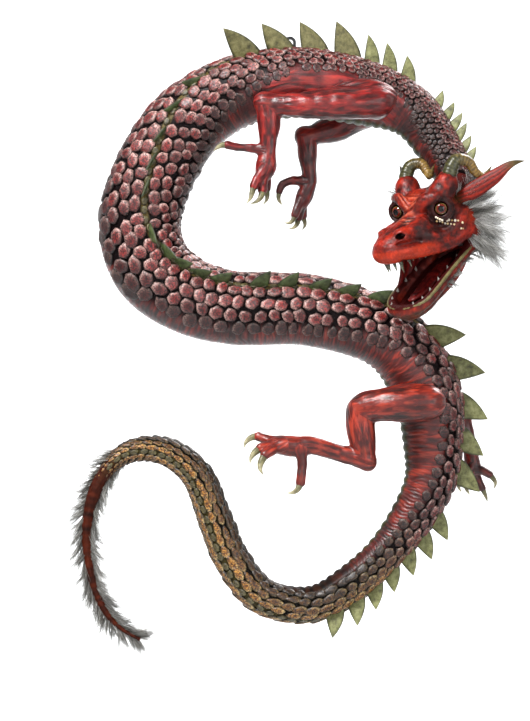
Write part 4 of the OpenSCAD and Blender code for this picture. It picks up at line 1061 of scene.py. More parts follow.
def head_clay(step):
    clay = Clay((-38, -24, -30), (34, 24, 28), step)
    clay.ball((-10, 0, -2.5), (13.5, 13.4, 11.5))
    clay.ball((-2, 0, 3.0), (9, 11.5, 6.6), 3)
    clay.ball((-17, 0, -3), (8.5, 11, 10), 4)
    clay.ball((2.6, -11.0, 0.6), (5.0, 3.6, 5.8), 2)
    clay.chain([[-17, 0, 0, 9.6], [-24, 1, 5.0, 8.4]], 4)
    # muzzle and lips
    clay.ball((6, 0.8, -6.9), (10, 9.8, 7.6), 3)
    clay.ball((14, 0, -9), (10, 9.0, 6.3), 3)
    clay.ball((21, 0, -11.2), (9, 8.8, 5.2), 3)
    clay.chain([[20, 7.2, -14.6, 3.6], [25.2, 4.6, -14.4, 4.0], [26.4, 0, -14.4, 4.1], [25.2, -4.6, -14.4, 4.0],
        [20, -7.2, -14.6, 3.6]], 2)
    clay.chain([[20, 7.6, -15.0, 3.3], [12, 9.2, -16.0, 3.0], [3, 10.6, -16.6, 2.9], [-5, 11.6, -15.8, 3.1],
                [-12, 12.2, -13.4, 3.3], [-18.5, 12.2, -13.6, 3.4], [-21, 12, -17.5, 3.0], [-20.6, 11.6, -21.5,
                    2.6]], 2.2, both=True)
    clay.ball((19.5, 6.0, -7.6), (5.0, 3.6, 3.8), 1.6, both=True)
    clay.ball((24.2, 0, -11.4), (4.6, 7.0, 4.6), 2.4)
    clay.ball((-1, 8.4, -11.4), (11, 3.6, 5.6), 2.6, both=True)
    # folds of the cheek and pouches of the muzzle
    clay.chain([[-14, 13.8, -3.5, 1.4], [-9, 14.4, -8.6, 1.6], [0, 13.0, -11.6, 1.5], [9, 11.2, -11.0, 1.2]], 1.8)
    clay.chain([[7, 9.0, -3.6, 1.5], [11.5, 8.4, -5.4, 1.6], [16, 7.6, -5.6, 1.3]], 1.8, both=True)
    # brow, nose bridge and cheeks
    clay.chain([[9, 2.0, -1.4, 2.2], [6, 4.2, 2.4, 2.8], [3.2, 9, 5.4, 3.0], [0.5, 13.2, 6.0, 2.3]], 1.8)
    clay.chain([[7.6, -0.8, 2.2, 2.2], [7.4, -3.4, 5.6, 2.0], [6.4, -7.2, 7.2, 1.9], [4.4, -11.6, 7.0, 1.7]], 1.8)
    clay.rod((10.6, 1.2, -3.6), (2, 0.6, 3.5), 2.4, 3.7, 2)
    clay.chain([[-3, 9.6, 5, 5.2], [-6.5, 11.4, 9, 4.8], [-8.0, 12.6, 11.6, 4.2]], 2.4)
    clay.chain([[-2, -9.2, 5, 5.0], [-3.6, -10.8, 9, 4.7], [-4.4, -11.5, 11.4, 4.2]], 2.4)
    clay.ball((-11, 10.6, -7.5), (10, 5.4, 7.6), 3, both=True)
    clay.ball((-19, 9.8, -11), (5.5, 4.6, 8), 3, both=True)
    clay.ball((8, 9.2, -9.5), (6, 3.2, 3.6), 2.4, both=True)
    # eye sockets and lids
    for side in (1, -1):
        eye = EYES[side]
        clay.ball(eye + GAZE[side] * 1.6, EYE_R + 0.9, 1.2, cut=True)
        for radius, forward, thick in ((4.1, 1.5, 0.95), (5.6, 0.6, 0.7))[:2 if side > 0 else 1]:
            loop = ring_round(eye + GAZE[side] * forward, GAZE[side], radius)
            for a, b in zip(loop[:-1], loop[1:]):
                clay.rod(a, b, thick, thick, 0.9)
        clay.ball(eye, EYE_R + 0.12, 0.3, cut=True)
    # nostrils, the fold above the lip, and the mouth
    clay.ball((21.6, 7.0, -7.4), (3.0, 1.9, 1.7), 0.8, cut=True, both=True)
    clay.chain([[14, 10.4, -11.4, 0.7], [20, 9.5, -11.2, 0.8], [25.2, 7.2, -10.8, 0.6]], 1.4, cut=True, both=True)
    clay.ball((5, 0, -22.5), (22, 7.4, 6.6), 1.6, cut=True)
    clay.ball((-12, 0, -20), (9, 8.2, 5.6), 1.6, cut=True)
    return clay


def eye_distance(points):
    return np.minimum(*[norms(points - EYES[side]) for side in (1, -1)])


def finish_head(points, normals):
    """Wrinkles and colour of the head, from points in the head's frame."""
    f, l, u = points.T
    a = np.abs(l)
    pebble = rough_noise(points / 1.0, 61, 2)
    soft = rough_noise(points / 3.4, 63, 3)
    near_eye = eye_distance(points)
    top = smooth(-0.1, 0.5, normals[:, 2])
    bridge = smooth(6.4, 4.4, a) * smooth(2.5, 5, f) * smooth(17, 14, f) * top
    folds = np.abs(np.sin(pi * (f + 0.06 * a ** 2 + 0.5 * soft) / 2.1))
    bags = smooth(12.5, 9, near_eye) * smooth(4.6, 6, near_eye) * smooth(1, -4, u)
    rings = np.abs(np.sin(pi * (near_eye + 0.5 * soft) / 1.7))
    snout = smooth(14, 20, f) * smooth(-12.5, -9.5, u)
    out = 0.13 * pebble + 0.22 * soft - 0.55 * bridge * (1 - folds) - 0.42 * bags * (1 - rings) + 0.15 * snout * pebble
    lip = smooth(-12.2, -14, u) * smooth(-24, -18, f)
    out = out * (1 - 0.6 * lip * smooth(6, 12, f))
    shifted = points + normals * out[:, None]
    # partly painted shade: the blotched red is lighter where the clay stands out and darker in its small hollows
    tint = blotched("#3a0907", "#ac2712", 0.4 + 1.15 * soft + 0.45 * pebble)
    # painted highlights: lighter patches on the brow, along the upper lip and on the cheek
    head_highlight = np.clip(smooth(7, 2, norms((points - [4, 0, 4]) / [1.2, 1.6, 1.0])) + lip * smooth(2, 14, f)
                     + smooth(6, 2, norms((points - [-15, 13, -7]) / [1.6, 1, 1])), 0, 1)
    tint = mixed(tint, srgb("#cc3a18"), 0.6 * head_highlight)
    # painted shade: dark in the eye sockets and in the creases of the bags below them
    dark = np.clip(smooth(9.5, 5.0, near_eye) * 1.1 + 0.6 * bags * (1 - 0.4 * rings), 0, 1)
    tint = sprayed(tint, ("#1a0504", dark * 0.9),
                   ("#240505", 0.55 * smooth(2, 9, u) * smooth(14, 8, u) * smooth(-1, -6, f)))
    # painted shade on the lower cheeks, above the corners of the mouth
    under = smooth(-3, -8, u) * smooth(-13, -9.5, u) * smooth(17, 8, f) * smooth(-14, -2, f) * smooth(5, 8, a)
    tint = mixed(tint, srgb("#2c0806"), 0.85 * under * (1 - 0.5 * smooth(0, 0.5, soft)))
    # painted shade in the hollow of the muzzle, broken up by the blotches
    muzzle = smooth(9, 5, norms((points - [12, 8, -7]) / [1.2, 1, 0.8]))
    tint = sprayed(tint, ("#280605", 0.85 * muzzle * smooth(0.6, -0.3, soft)),
                   # painted highlight on the crests of the folds of the nose bridge, and painted shade in the creases
                   # between them
                   ("#dd7658", 0.45 * bridge * smooth(0.6, 1, folds)),
                   ("#2a0605", 0.75 * bridge * smooth(0.45, 0.1, folds)))
    back = smooth(-9, -17, f) * smooth(-6, 2, u) + smooth(4, 9, u) * smooth(-6, -12, f) * smooth(12, 8, a)
    tint = mixed(tint, srgb("#3d0908"), np.clip(back, 0, 1) * 0.85)
    olive = smooth(8, 3, norms((points - [-15, 13, 2.5]) / [1.0, 1.3, 1.0])) * smooth(-0.25, 0.35, soft + 0.1)
    tint = mixed(tint, srgb("#33351b"), 0.85 * olive)
    # painted shade: the nostrils are darkened nearly to black inside
    nostril = norms((table(f, a, u) - [22.2, 6.3, -7.6]) / [2.6, 1.7, 1.7])
    tint = mixed(tint, srgb("#100303"), smooth(1.25, 0.85, nostril))
    # painted shade along the crease above the lip
    crease = smooth(1.6, 0.5, np.abs(u + 10.8 + 0.12 * np.maximum(a - 2, 0))) * smooth(13, 18, f)
    tint = mixed(tint, srgb("#4a0c08"), 0.6 * crease)
    inside = smooth(0.1, 0.5, -normals[:, 2]) * smooth(9.2, 8.2, a) * smooth(-12.5, -14, u) * smooth(27, 24, f)
    inside = np.clip(inside + smooth(9.6, 8.6, a) * smooth(-13, -15, u) * smooth(24, 20, f) * smooth(-22, -18, f), 0, 1)
    tint = mixed(tint, srgb("#2a0505"), inside)
    return shifted, np.clip(tint, 0, 1), inside


def jaw_clay(step):
    clay = Clay((-26, -18, -52), (32, 18, -10), step)
    clay.chain([[-17, 10.8, -20.5, 2.6], [-8, 11.6, -25.6, 2.1], [4, 12.2, -31.8, 1.9], [13, 12.5, -36.8, 1.9],
                [19, 11.2, -40.2, 2.0], [22.8, 6.2, -42.4, 2.2], [23.8, 0, -42.9, 2.3]], 2, both=True)
    clay.ball((1, 0, -35.0), (23.5, 13.0, 3.6), 2.4, lean=-28)
    clay.ball((15, 0, -43.2), (9, 9.6, 3.0), 2.4, lean=-20)
    clay.ball((-17.5, 10.6, -20.5), (4.0, 2.8, 4.8), 2, both=True)
    clay.ball((2, 0, -28.4), (22.5, 10.6, 4.6), 1.0, cut=True, lean=-28)
    clay.ball((14, 0, -37.2), (8.4, 10.0, 3.6), 1.0, cut=True, lean=-20)
    return clay


JAW_RIM = [[-20.6, 12.6, -18.8], [-14.5, 13.2, -21.3], [-6, 13.5, -25.2], [4, 13.9, -30.2], [13, 14.1, -35.0],
           [19.8, 12.8, -38.8], [24.1, 7.2, -41.0], [25.5, 0, -41.6]]


LIP_RADIUS = 0.8


def both_sides(rows):
    """Rows that end on the middle line, carried on to the other side."""
    rows = np.array(rows, float)
    other = rows[::-1][1:] * (1, -1, 1)
    return np.vstack([rows, other])


LINING_ROWS, LINING_COLUMNS = 73, 25


def mouth_lining():
    """The skin of the throat and cheeks between the upper and lower jaw: points, faces, fold place."""
    upper = np.array([[-17, 11.4, -15.4], [-19.5, 7, -13.4], [-20, 0, -12.4], [-17, -7.5, -12.8], [-10, -9.4, -13.0],
                      [0, -8.8, -14.6], [11.5, -8.4, -16.4]], float)
    lower = np.array([[-18, 11.2, -21.4], [-18, 7, -26.0], [-17, 0, -29.0], [-14.5, -8.5, -29.5], [-7, -11.6, -31.0],
                      [6, -12.2, -35.5], [20.5, -11.2, -40.6]], float)
    v = np.linspace(0, 6, LINING_ROWS)
    w = np.linspace(0, 1, LINING_COLUMNS)
    top, bottom = rows_at(upper, v), rows_at(lower, v)
    points = top[:, None] * (1 - w)[None, :, None] + bottom[:, None] * w[None, :, None]
    swell = np.sin(pi * w)[None, :]
    ahead = smooth(3.5, 6, v)[:, None]
    points[..., 1] -= 2.6 * swell * ahead
    points[..., 0] -= 6.0 * swell * ahead ** 2
    points[..., 0] -= 1.2 * swell * (1 - ahead)
    folds = np.sin(v * 9)[:, None] * swell * 0.3
    points[..., 1] += folds
    return points.reshape(-1, 3), grid_faces(len(v), len(w), wrap=False), np.tile(w, len(v)), np.repeat(v, len(w))


# ---------- hair ----------
def strand_tree(name, material):
    """Turns polylines into tapered strands."""
    tree, start, node = new_tree(name, Thickness="Float", Sides="Int")
    curve = node("GeometryNodeMeshToCurve", {0: start["Geometry"]})
    width = node("GeometryNodeInputNamedAttribute", {"Name": "width"}, data_type="FLOAT").outputs["Attribute"]
    size = node("ShaderNodeMath", {0: width, 1: start["Thickness"]}, **TIMES)
    circle = node("GeometryNodeCurvePrimitiveCircle", {"Resolution": start["Sides"], "Radius": 1.0})
    end_tree(node, node("GeometryNodeCurveToMesh", {
        "Curve": curve, "Profile Curve": circle, "Scale": size, "Fill Caps": True}), material)
    return tree


def strand_mesh(name, strands):
    """Strands as polylines: each is (points in mm, width in mm at the root, tone)."""
    points, edges, width, tone, place = [], [], [], [], []
    for line, thick, shade in strands:
        edges += [(len(points) + i, len(points) + i + 1) for i in range(len(line) - 1)]
        points += [tuple(p) for p in line]
        u = np.linspace(0, 1, len(line))
        width += list(thick * (1 - 0.88 * u ** 1.6) * MM)
        tone += [shade] * len(line)
        place += list(u)
    return point_mesh(name, points, edges, width=width, tone=tone, place=place)


def hair_material():
    """Modacrylic fibre: grey, darker at the root, with the sheen of combed synthetic fur."""
    material, shader, _, node = new_material("modacrylic_hair", Roughness=0.5, Sheen_Weight=0.3)
    tone, place = (node("Attribute", attribute_name=key).outputs["Fac"] for key in ("tone", "place"))
    colour = node("ValToRGB", {"Fac": tone}, [
        (0.0, "#1b1a17"), (0.3, "#4a463c"), (0.6, "#8b8880"), (0.85, "#c9c6c0"), (1.0, "#efeeec")])
    root = node("ValToRGB", {"Fac": place}, [(0.0, "#6a6254"), (0.45, "#ffffff")])
    feed(shader, {"Base Color": node("Mix", {0: 1.0, 6: colour, 7: root}, **STAIN)})
    return material


STRAND_POINTS = 9


def tuft(rng, root, toward, length, count, spread, curl, tones, thick=0.09, sag=0.0):
    """A tuft whose strands start apart and draw together towards the tip."""
    strands = []
    toward = unit(toward)
    side = unit(np.cross(toward, [0.2, 0.9, 0.3]))
    up = np.cross(side, toward)
    bend_a, bend_b = rng.uniform(-1, 1, 2) * curl
    phase = rng.uniform(0, 6.28)
    for _ in range(count):
        start = rng.normal(0, 1, 2) * spread
        size = length * rng.uniform(0.55, 1.08)
        meet = rng.uniform(0.35, 0.85)
        own = rng.normal(0, 0.10, 2) * length * 0.6
        u = np.linspace(0, 1, STRAND_POINTS)
        wave = 0.035 * length * np.sin(phase + 5.5 * u + rng.uniform(-0.5, 0.5)) * u
        a = start[0] * (1 - meet * u) + bend_a * length * u ** 2 + own[0] * u ** 1.5 + wave
        b = start[1] * (1 - meet * u) + bend_b * length * u ** 2 + own[1] * u ** 1.5 + wave * 0.6
        line = root + np.outer(u * size - 0.6, toward) + np.outer(a, side) + np.outer(b, up)
        line[:, 2] -= sag * u ** 2 * size
        strands.append((line, thick * rng.uniform(0.7, 1.25), float(np.clip(rng.normal(*tones), 0, 1))))
    return strands


# ---------- settings ----------
def length_setting(name, description, default):
    return bpy.props.FloatProperty(name=name, description=description, default=default * MM, unit="LENGTH", precision=5)


def factor_setting(name, description, high):
    return bpy.props.FloatProperty(name=name, description=description, default=1.0, subtype="FACTOR", min=0.2, max=high)


def power_setting(name, description, default):
    return bpy.props.FloatProperty(name=name, description=description, default=default, unit="POWER")


def colour_setting(name, description, default):
    return bpy.props.FloatVectorProperty(name=name, description=description, default=default, size=3, subtype="COLOR")


class DragonBody(bpy.types.PropertyGroup):
    ring_step: length_setting("Ring step", "Distance between the rings of points of the skin", 0.5)
    furrow: length_setting("Furrow", "Depth of the wrinkles in the skin", 0.36)
    scale_size: factor_setting("Scale size", "Size of the scales against their spacing", 1.3)
    scale_height: factor_setting("Scale height", "How far the scales stand out", 2)
    fin_thickness: length_setting("Fin thickness", "Thickness of the fins at the foot", 1.5)
    seed: bpy.props.IntProperty(name="Seed", description="Order of the scales and fins", default=7)


class DragonHead(bpy.types.PropertyGroup):
    grain: length_setting("Grain", "Finest detail of the sculpted head and legs", 0.45)
    eye_colour: colour_setting("Iris", "Colour of the iris", (0.16, 0.012, 0.006))


class DragonHair(bpy.types.PropertyGroup):
    thickness: factor_setting("Thickness", "Thickness of the hair against its usual one", 3)
    amount: factor_setting("Amount", "Number of tufts against the usual one", 2)
    seed: bpy.props.IntProperty(name="Seed", description="Order of the tufts", default=21)


class DragonStage(bpy.types.PropertyGroup):
    key_power: power_setting("Key light", "Power of the softbox at the upper left", 46.0)
    background_power: power_setting("Background light", "Power of the light on the paper", 190.0)
    room_light: bpy.props.FloatProperty(name="Room", description="Brightness of the white room", default=0.22)
    floor_colour: colour_setting("Floor", "Colour of the paper sweep", (0.86, 0.87, 0.875))


# ---------- the pieces ----------
def piece_name(kind, piece):
    return "_".join([kind, "end" if piece == 0 else "over"] + sections_under(piece))


class DRAGON_OT_skin(bpy.types.Operator):
    """The soft skin of the body, in pieces that each lie over one or two sections"""
    bl_idname = "dragon.skin"
    bl_label = "Body skin"

    def execute(self, context):
        settings = context.scene.dragon_body
        points, faces, normals, values, marks = body_skin_grid(settings.ring_step / MM, settings.furrow / MM)
        material = skin_material("painted_latex_skin", 0.42, 0.3, (0.55, 0.11, 1), 0.5)
        for piece, (first, last) in enumerate(zip(marks[:-1], marks[1:])):
            a, b = first * BODY_COLUMNS, (last + 1) * BODY_COLUMNS
            own = faces[first * BODY_COLUMNS:last * BODY_COLUMNS] - a
            rings, shade = points[a:b], normals[a:b]
            part = {key: value[a:b] for key, value in values.items()}
            count = b - a
            ends = []
            for start, turn in ((0, 1), (count - BODY_COLUMNS, -1)):
                loop = np.arange(start, start + BODY_COLUMNS)
                pairs = table(np.roll(loop, -1), loop)[:, ::turn]
                ends.append(np.hstack([pairs, np.full((BODY_COLUMNS, 1), count + len(ends))]))
            centres = np.array([rings[:BODY_COLUMNS].mean(0), rings[-BODY_COLUMNS:].mean(0)])
            rings = np.vstack([rings, centres])
            along = unit(centres[1] - centres[0])
            shade = np.vstack([shade, [-along, along]])
            part = {key: np.concatenate([value, value[[0, -1]]]) for key, value in part.items()}
            every = [list(f) for f in own] + [list(f) for f in np.vstack(ends)]
            mesh = make_mesh(piece_name("skin", piece), rings, every, part)
            mesh.normals_split_custom_set_from_vertices(shade)
            obj = make_object(mesh.name, mesh, material)
            cover_body(obj, piece)
        return {"FINISHED"}


class DRAGON_OT_scales(bpy.types.Operator):
    """The scales of the back and flanks, and the plates along the back line"""
    bl_idname = "dragon.scales"
    bl_label = "Scales"

    def execute(self, context):
        settings = context.scene.dragon_body
        rounded = [scale_mesh(f"scale_{k}", 30 + k, False) for k in range(5)]
        pointed = [scale_mesh(f"scale_point_{k}", 50 + k, True) for k in range(3)]
        material = scale_material()
        trees = [scale_tree("rounded scales", rounded, material), scale_tree("pointed scales", pointed, material)]
        rows = scale_points(settings.seed)
        t, angle, pitch, share, m, chance, jitter, jitter2 = rows.T
        away = np.abs(np.degrees(angle))
        front_half = 1 - smooth(15, 17, t)
        low = smooth(42, 84, away) * front_half
        points, outward, dirs, r = body_points(t, angle, -0.75)
        ahead = body_points(t + 0.02, angle, -0.75)[0]
        behind = body_points(t - 0.02, angle, -0.75)[0]
        stretch = norms(ahead - behind) / np.maximum(arc_of(t + 0.02) - arc_of(t - 0.02), 1e-6)
        stretch = np.clip(stretch, 0.55, 1.7)
        span = table(
            pitch * stretch * 0.6 * jitter * (1 - 0.15 * low),
            pitch * share * 0.6 * jitter2 * (1 + 0.25 * low),
            (0.7 + 0.17 * pitch) * (1 - 0.35 * low))
        is_pointed = chance < smooth(15.3, 17.5, t)
        span[is_pointed] *= [1.16, 1.12, 1.0]
        span = span * smooth(25.4, 24.0, t)[:, None] ** 0.5
        gold = smooth(15.0, 17.0, t)
        tail_tone = np.select([m < 1, m < 2, m < 3], [0.98, 0.6, 0.26], 0.1)
        red_tone = (0.62 + 0.42 * chance) * (1 - 0.78 * smooth(38, 84, away))
        red_tone = red_tone * by_place(t, (0, 0.75), (3, 0.85), (6, 1.0), (13, 1.0), (15, 0.9))
        tone = np.clip((1 - gold) * red_tone + gold * tail_tone * (0.85 + 0.2 * chance), 0, 1)
        hue = 0.5 * gold + 0.14 * low * (1 - gold)
        # plates along the back line
        plates = []
        for first, last in ((4.8, 12.0), (15.0, 24.6)):
            at = place_of(np.arange(arc_of(first), arc_of(last), 4.6))
            plates.append(at)
        at = np.concatenate(plates)
        zero = at * 0
        p2, o2, d2, _ = body_points(at, zero, -0.7)
        half = strip_half(at)
        span2 = table(2.35 + zero, half * 1.0 + 0.35, 1.0 + zero)
        points, outward, dirs = np.vstack([points, p2]), np.vstack([outward, o2]), np.vstack([dirs, d2])
        span = np.vstack([span, span2])
        t, is_pointed = np.concatenate([t, at]), np.concatenate([is_pointed, zero > 1])
        tone, hue = np.concatenate([tone, zero + 0.75]), np.concatenate([hue, zero + 1])
        for piece, (a, b) in enumerate(zip(SKIN_CUTS[:-1], SKIN_CUTS[1:])):
            made = []
            for k, tree in enumerate(trees):
                own = (t >= a) & (t < b) & (is_pointed == bool(k))
                if own.any():
                    seeds = point_mesh("points", points[own], outward=outward[own], lengthwise=dirs[own],
                        span=span[own] * MM,
                                       tone=tone[own], hue=hue[own])
                    made.append(grown(piece_name("scales", piece), seeds, tree, Size=settings.scale_size,
                        Height=settings.scale_height, Seed=settings.seed))
            if not made:
                continue
            obj = together(made, piece_name("scales", piece))
            cover_body(obj, piece)
        for shape in rounded + pointed:
            bpy.data.objects.remove(shape)
        return {"FINISHED"}


def together(objects, name):
    """Joins meshes that lie in the same frame."""
    if len(objects) > 1:
        with bpy.context.temp_override(active_object=objects[0], selected_editable_objects=objects,
            selected_objects=objects):
            bpy.ops.object.join()
    objects[0].name = name
    objects[0].data.name = name
    return objects[0]


class DRAGON_OT_fins(bpy.types.Operator):
    """The fins that stand along the back"""
    bl_idname = "dragon.fins"
    bl_label = "Fins"

    def execute(self, context):
        settings = context.scene.dragon_body
        shape = fin_mesh()
        tree = scale_tree("fins", [shape], fin_material())
        places, chords, heights, shades = [], [], [], []
        for first, last, count, tall in FIN_ROWS:
            edges = np.linspace(arc_of(first), arc_of(last), count + 1)
            for i in range(count):
                places.append(place_of(0.5 * (edges[i] + edges[i + 1])))
                chords.append(edges[i + 1] - edges[i])
                heights.append(tall * (1 + 0.14 * sin(137 * (len(places)))))
        t = np.array(places)
        centre, r, dirs, side, front, roll = body_frame(t)
        up = np.cos(roll)[:, None] * side + np.sin(roll)[:, None] * front
        feet = centre + up * (r - 0.25)[:, None]
        khaki, brown, green = srgb("#8f9060"), srgb("#807a50"), srgb("#55643c")
        w_brown = (smooth(2.9, 3.2, t) * smooth(5.2, 4.9, t))[:, None]
        w_green = (smooth(4.9, 5.2, t) * smooth(12.2, 11.8, t))[:, None]
        shades = khaki * (1 - w_brown - w_green) + brown * w_brown + green * w_green
        shades = np.hstack([shades, np.ones((len(t), 1))])
        narrow = 0.96 - 0.24 * (smooth(4.9, 5.2, t) * smooth(12.2, 11.8, t))
        span = table(np.array(chords) * narrow, t * 0 + settings.fin_thickness / MM, np.array(heights)) * MM
        for piece, (a, b) in enumerate(zip(SKIN_CUTS[:-1], SKIN_CUTS[1:])):
            own = (t >= a) & (t < b)
            if not own.any():
                continue
            seeds = point_mesh("points", feet[own], outward=up[own], lengthwise=dirs[own], span=span[own],
                tone=shades[own])
            obj = grown(piece_name("fins", piece), seeds, tree, Size=1.0, Height=1.0, Seed=settings.seed)
            fit_to_body(obj, piece)
            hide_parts(*[name + "_fins" for name in sections_under(piece) if name in FINNED])
        bpy.data.objects.remove(shape)
        return {"FINISHED"}


class DRAGON_OT_legs(bpy.types.Operator):
    """The four legs, each in a root, a joint and a foot piece"""
    bl_idname = "dragon.legs"
    bl_label = "Legs"

    def execute(self, context):
        step = context.scene.dragon_head.grain / MM * 1.1
        material = skin_material("painted_latex_leg", 0.4, 0.3, (0.5, 0.16, 1), 0.5)
        for limb_name, limb in LIMBS.items():
            points, faces, normals, values = sculpt_limb(limb, step)
            bodies = [limb_name + "_" + part for part in limb["parts"]]
            (p0, d0), (p1, d1) = limb["cuts"]
            back0, back1 = tuple(-np.array(d0, float)), tuple(-np.array(d1, float))
            planes = [[(p0, back0)], [(p0, d0), (p1, back1)], [(p0, d0), (p1, d1)]]
            for k, body in enumerate(bodies):
                obj = part_between(body + "_skin", points, faces, values, normals, planes[k], material)
                if k == 0:
                    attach(obj, body)
                else:
                    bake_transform(obj)
                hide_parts(body)
        return {"FINISHED"}


class DRAGON_OT_claws(bpy.types.Operator):
    """The claws of all four feet"""
    bl_idname = "dragon.claws"
    bl_label = "Claws"

    def execute(self, context):
        material = horn_material("resin_claw", [(0.0, "#4b4a2a"), (0.3, "#8a8459"), (0.6, "#b9b088"),
            (1.0, "#d2caa6")], 0.34, 5.0)
        for limb_name, limb in LIMBS.items():
            points, faces, values = claw_parts(limb["claws"])
            obj = make_object(limb_name + "_claw_set", make_mesh(limb_name + "_claw_set", points, faces, values),
                material)
            turn_outwards(obj)
            fasten(obj, limb_name + "_foot", "claw", limb_name + "_claws")
        return {"FINISHED"}


def head_piece(name, parts, material, slot, body="head", nodes=()):
    """A rigid piece of the head from parts in the head's frame."""
    points, faces, values = joined(parts)
    obj = make_object(name, make_mesh(name, from_head(points), faces, values), material)
    turn_outwards(obj)
    fasten(obj, body, slot, *nodes)


def sculpted_piece(name, points, faces, values, material, slot, body, node):
    """A piece of clay from the head's frame, shaded by the slope of its surface."""
    world = from_head(points)
    mesh = make_mesh(name, world, faces, values)
    mesh.normals_split_custom_set_from_vertices(shell_normals(world, faces))
    fasten(make_object(name, mesh, material), body, slot, node)


def plain_values(points, tint):
    """Colour and grain for a skin piece that has no wrinkles of its own."""
    tint = np.broadcast_to(tint, (len(points), 3))
    return {"tint": tint, "lay": points, "grain": np.full(len(points), 0.25), "along": np.zeros(len(points))}


class DRAGON_OT_head(bpy.types.Operator):
    """The sculpted head, and the beads under the eyes"""
    bl_idname = "dragon.head"
    bl_label = "Head"

    def execute(self, context):
        clay = head_clay(context.scene.dragon_head.grain / MM)
        points, faces, normals = clay.surface()
        points, tint, inside = finish_head(points, normals)
        values = {"tint": tint, "lay": points, "grain": 0.35 * (1 - inside), "along": np.zeros(len(points))}
        material = skin_material("painted_latex_face", 0.46, 0.3, (0.8, 0.8, 0.8), 0.45)
        sculpted_piece("head_skin", points, faces, values, material, "skull_skin", "head", "skull")
        beads(clay)
        return {"FINISHED"}


def beads(clay):
    """Two rows of small beads set in the skin below each eye."""
    spots, sizes = [], []
    rng = np.random.default_rng(3)
    for side in (1, -1):
        for row, (count, drop, size) in enumerate(((11, 0.0, 0.62), (9, 1.9, 0.5))):
            u = np.linspace(0.02 + 0.05 * row, 1, count)
            line = table(4.5 - 13.5 * u, side * (13 + 0 * u), -3.6 - 4.8 * u ** 1.3 - drop)
            spots.append(clay.settle(line)[0])
            sizes.append(size * rng.uniform(0.8, 1.15, count))
    spots, sizes = from_head(np.vstack(spots)), np.concatenate(sizes)
    # painted glass beads, white and straw
    material, shader, _, node = new_material("glass_bead", Roughness=0.15, Coat_Weight=0.5)
    tone = node("Attribute", attribute_name="tone").outputs["Fac"]
    feed(shader, {"Base Color": node("ValToRGB", {"Fac": tone}, [
        (0.0, "#b98a4a"), (0.5, "#d8c39a"), (1.0, "#f0e6dc")])})
    bpy.ops.mesh.primitive_uv_sphere_add(segments=12, ring_count=8, radius=1.0)
    ball = bpy.context.object
    ball.data.polygons.foreach_set("use_smooth", np.ones(len(ball.data.polygons), bool))
    tree = scale_tree("beads", [ball], material)
    count = len(spots)
    seeds = point_mesh("points", spots, outward=np.tile([0, 0, 1.0], (count, 1)),
        lengthwise=np.tile([1.0, 0, 0], (count, 1)),
                       span=np.repeat(sizes[:, None], 3, 1) * MM, tone=rng.uniform(0, 1, count))
    obj = grown("cheek_beads", seeds, tree, Size=1.0, Height=1.0, Seed=1)
    bpy.data.objects.remove(ball)
    fasten(obj, "head", "tooth")


class DRAGON_OT_jaw(bpy.types.Operator):
    """The lower jaw, its lip, and the skin of the throat and cheeks"""
    bl_idname = "dragon.jaw"
    bl_label = "Jaw and mouth"

    def execute(self, context):
        material = bpy.data.materials["painted_latex_face"]
        clay = jaw_clay(context.scene.dragon_head.grain / MM)
        points, faces, normals = clay.surface()
        f, l, u = points.T
        soft = rough_noise(points / 3.0, 71)
        pebble = rough_noise(points / 1.0, 73, 2)
        cup = smooth(0.15, 0.5, normals[:, 2])
        points = points + normals * (0.2 * soft + 0.1 * pebble)[:, None]
        # partly painted shade: the blotched red is lighter where the clay stands out and darker in its small hollows
        tint = blotched("#4a0e09", "#a02c17", 0.42 + 0.9 * soft + 0.3 * pebble)
        tint = mixed(tint, srgb("#3a0b0a"), cup)
        below = smooth(-0.2, -0.7, normals[:, 2])
        tint = mixed(tint, srgb("#2e2a17"), 0.7 * below)
        values = {"tint": tint, "lay": points, "grain": 0.4 * (1 - cup), "along": np.zeros(len(points))}
        sculpted_piece("lower_jaw_skin", points, faces, values, material, "jaw", "lower_jaw", "lower_jaw")

        row = rows_at(both_sides(JAW_RIM), np.linspace(0, 2 * len(JAW_RIM) - 2, 12 * len(JAW_RIM)))
        row = np.hstack([row, np.full((len(row), 1), LIP_RADIUS)])
        part, quads, t, _ = tube_points(row, 12, 1, ref=UPRIGHT,
                                        groove=lambda t, a, r: r * (1 + 0.12 * np.sin(t * 1.9) * np.sin(t * 0.73)))
        shade = srgb("#6c6440") * (0.8 + 0.35 * np.abs(np.sin(t * 0.83)))[:, None]
        head_piece("lower_lip", [(part, quads, plain_values(part, shade))], material, "jaw", "lower_jaw")

        sheet, quads, w, v = mouth_lining()
        inward = shell_normals(sheet, quads)
        back = sheet + inward * 0.5
        n = len(sheet)
        every = [list(q) for q in quads[:, ::-1]] + [list(q + n) for q in quads]
        border = sheet_border(LINING_ROWS, LINING_COLUMNS)
        every += [[b, a, a + n, b + n] for a, b in zip(border, border[1:] + border[:1])]
        both = np.vstack([sheet, back])
        fold = np.tile(np.abs(np.sin(9 * v)) * np.sin(pi * w), 2)
        tint = blotched("#3c0808", "#7a1512", fold + 0.4 * rough_noise(both / 2.5, 79))
        obj = make_object("mouth_lining", make_mesh("mouth_lining", from_head(both), every, plain_values(both, tint)),
            material)
        turn_outwards(obj)
        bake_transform(obj)
        return {"FINISHED"}


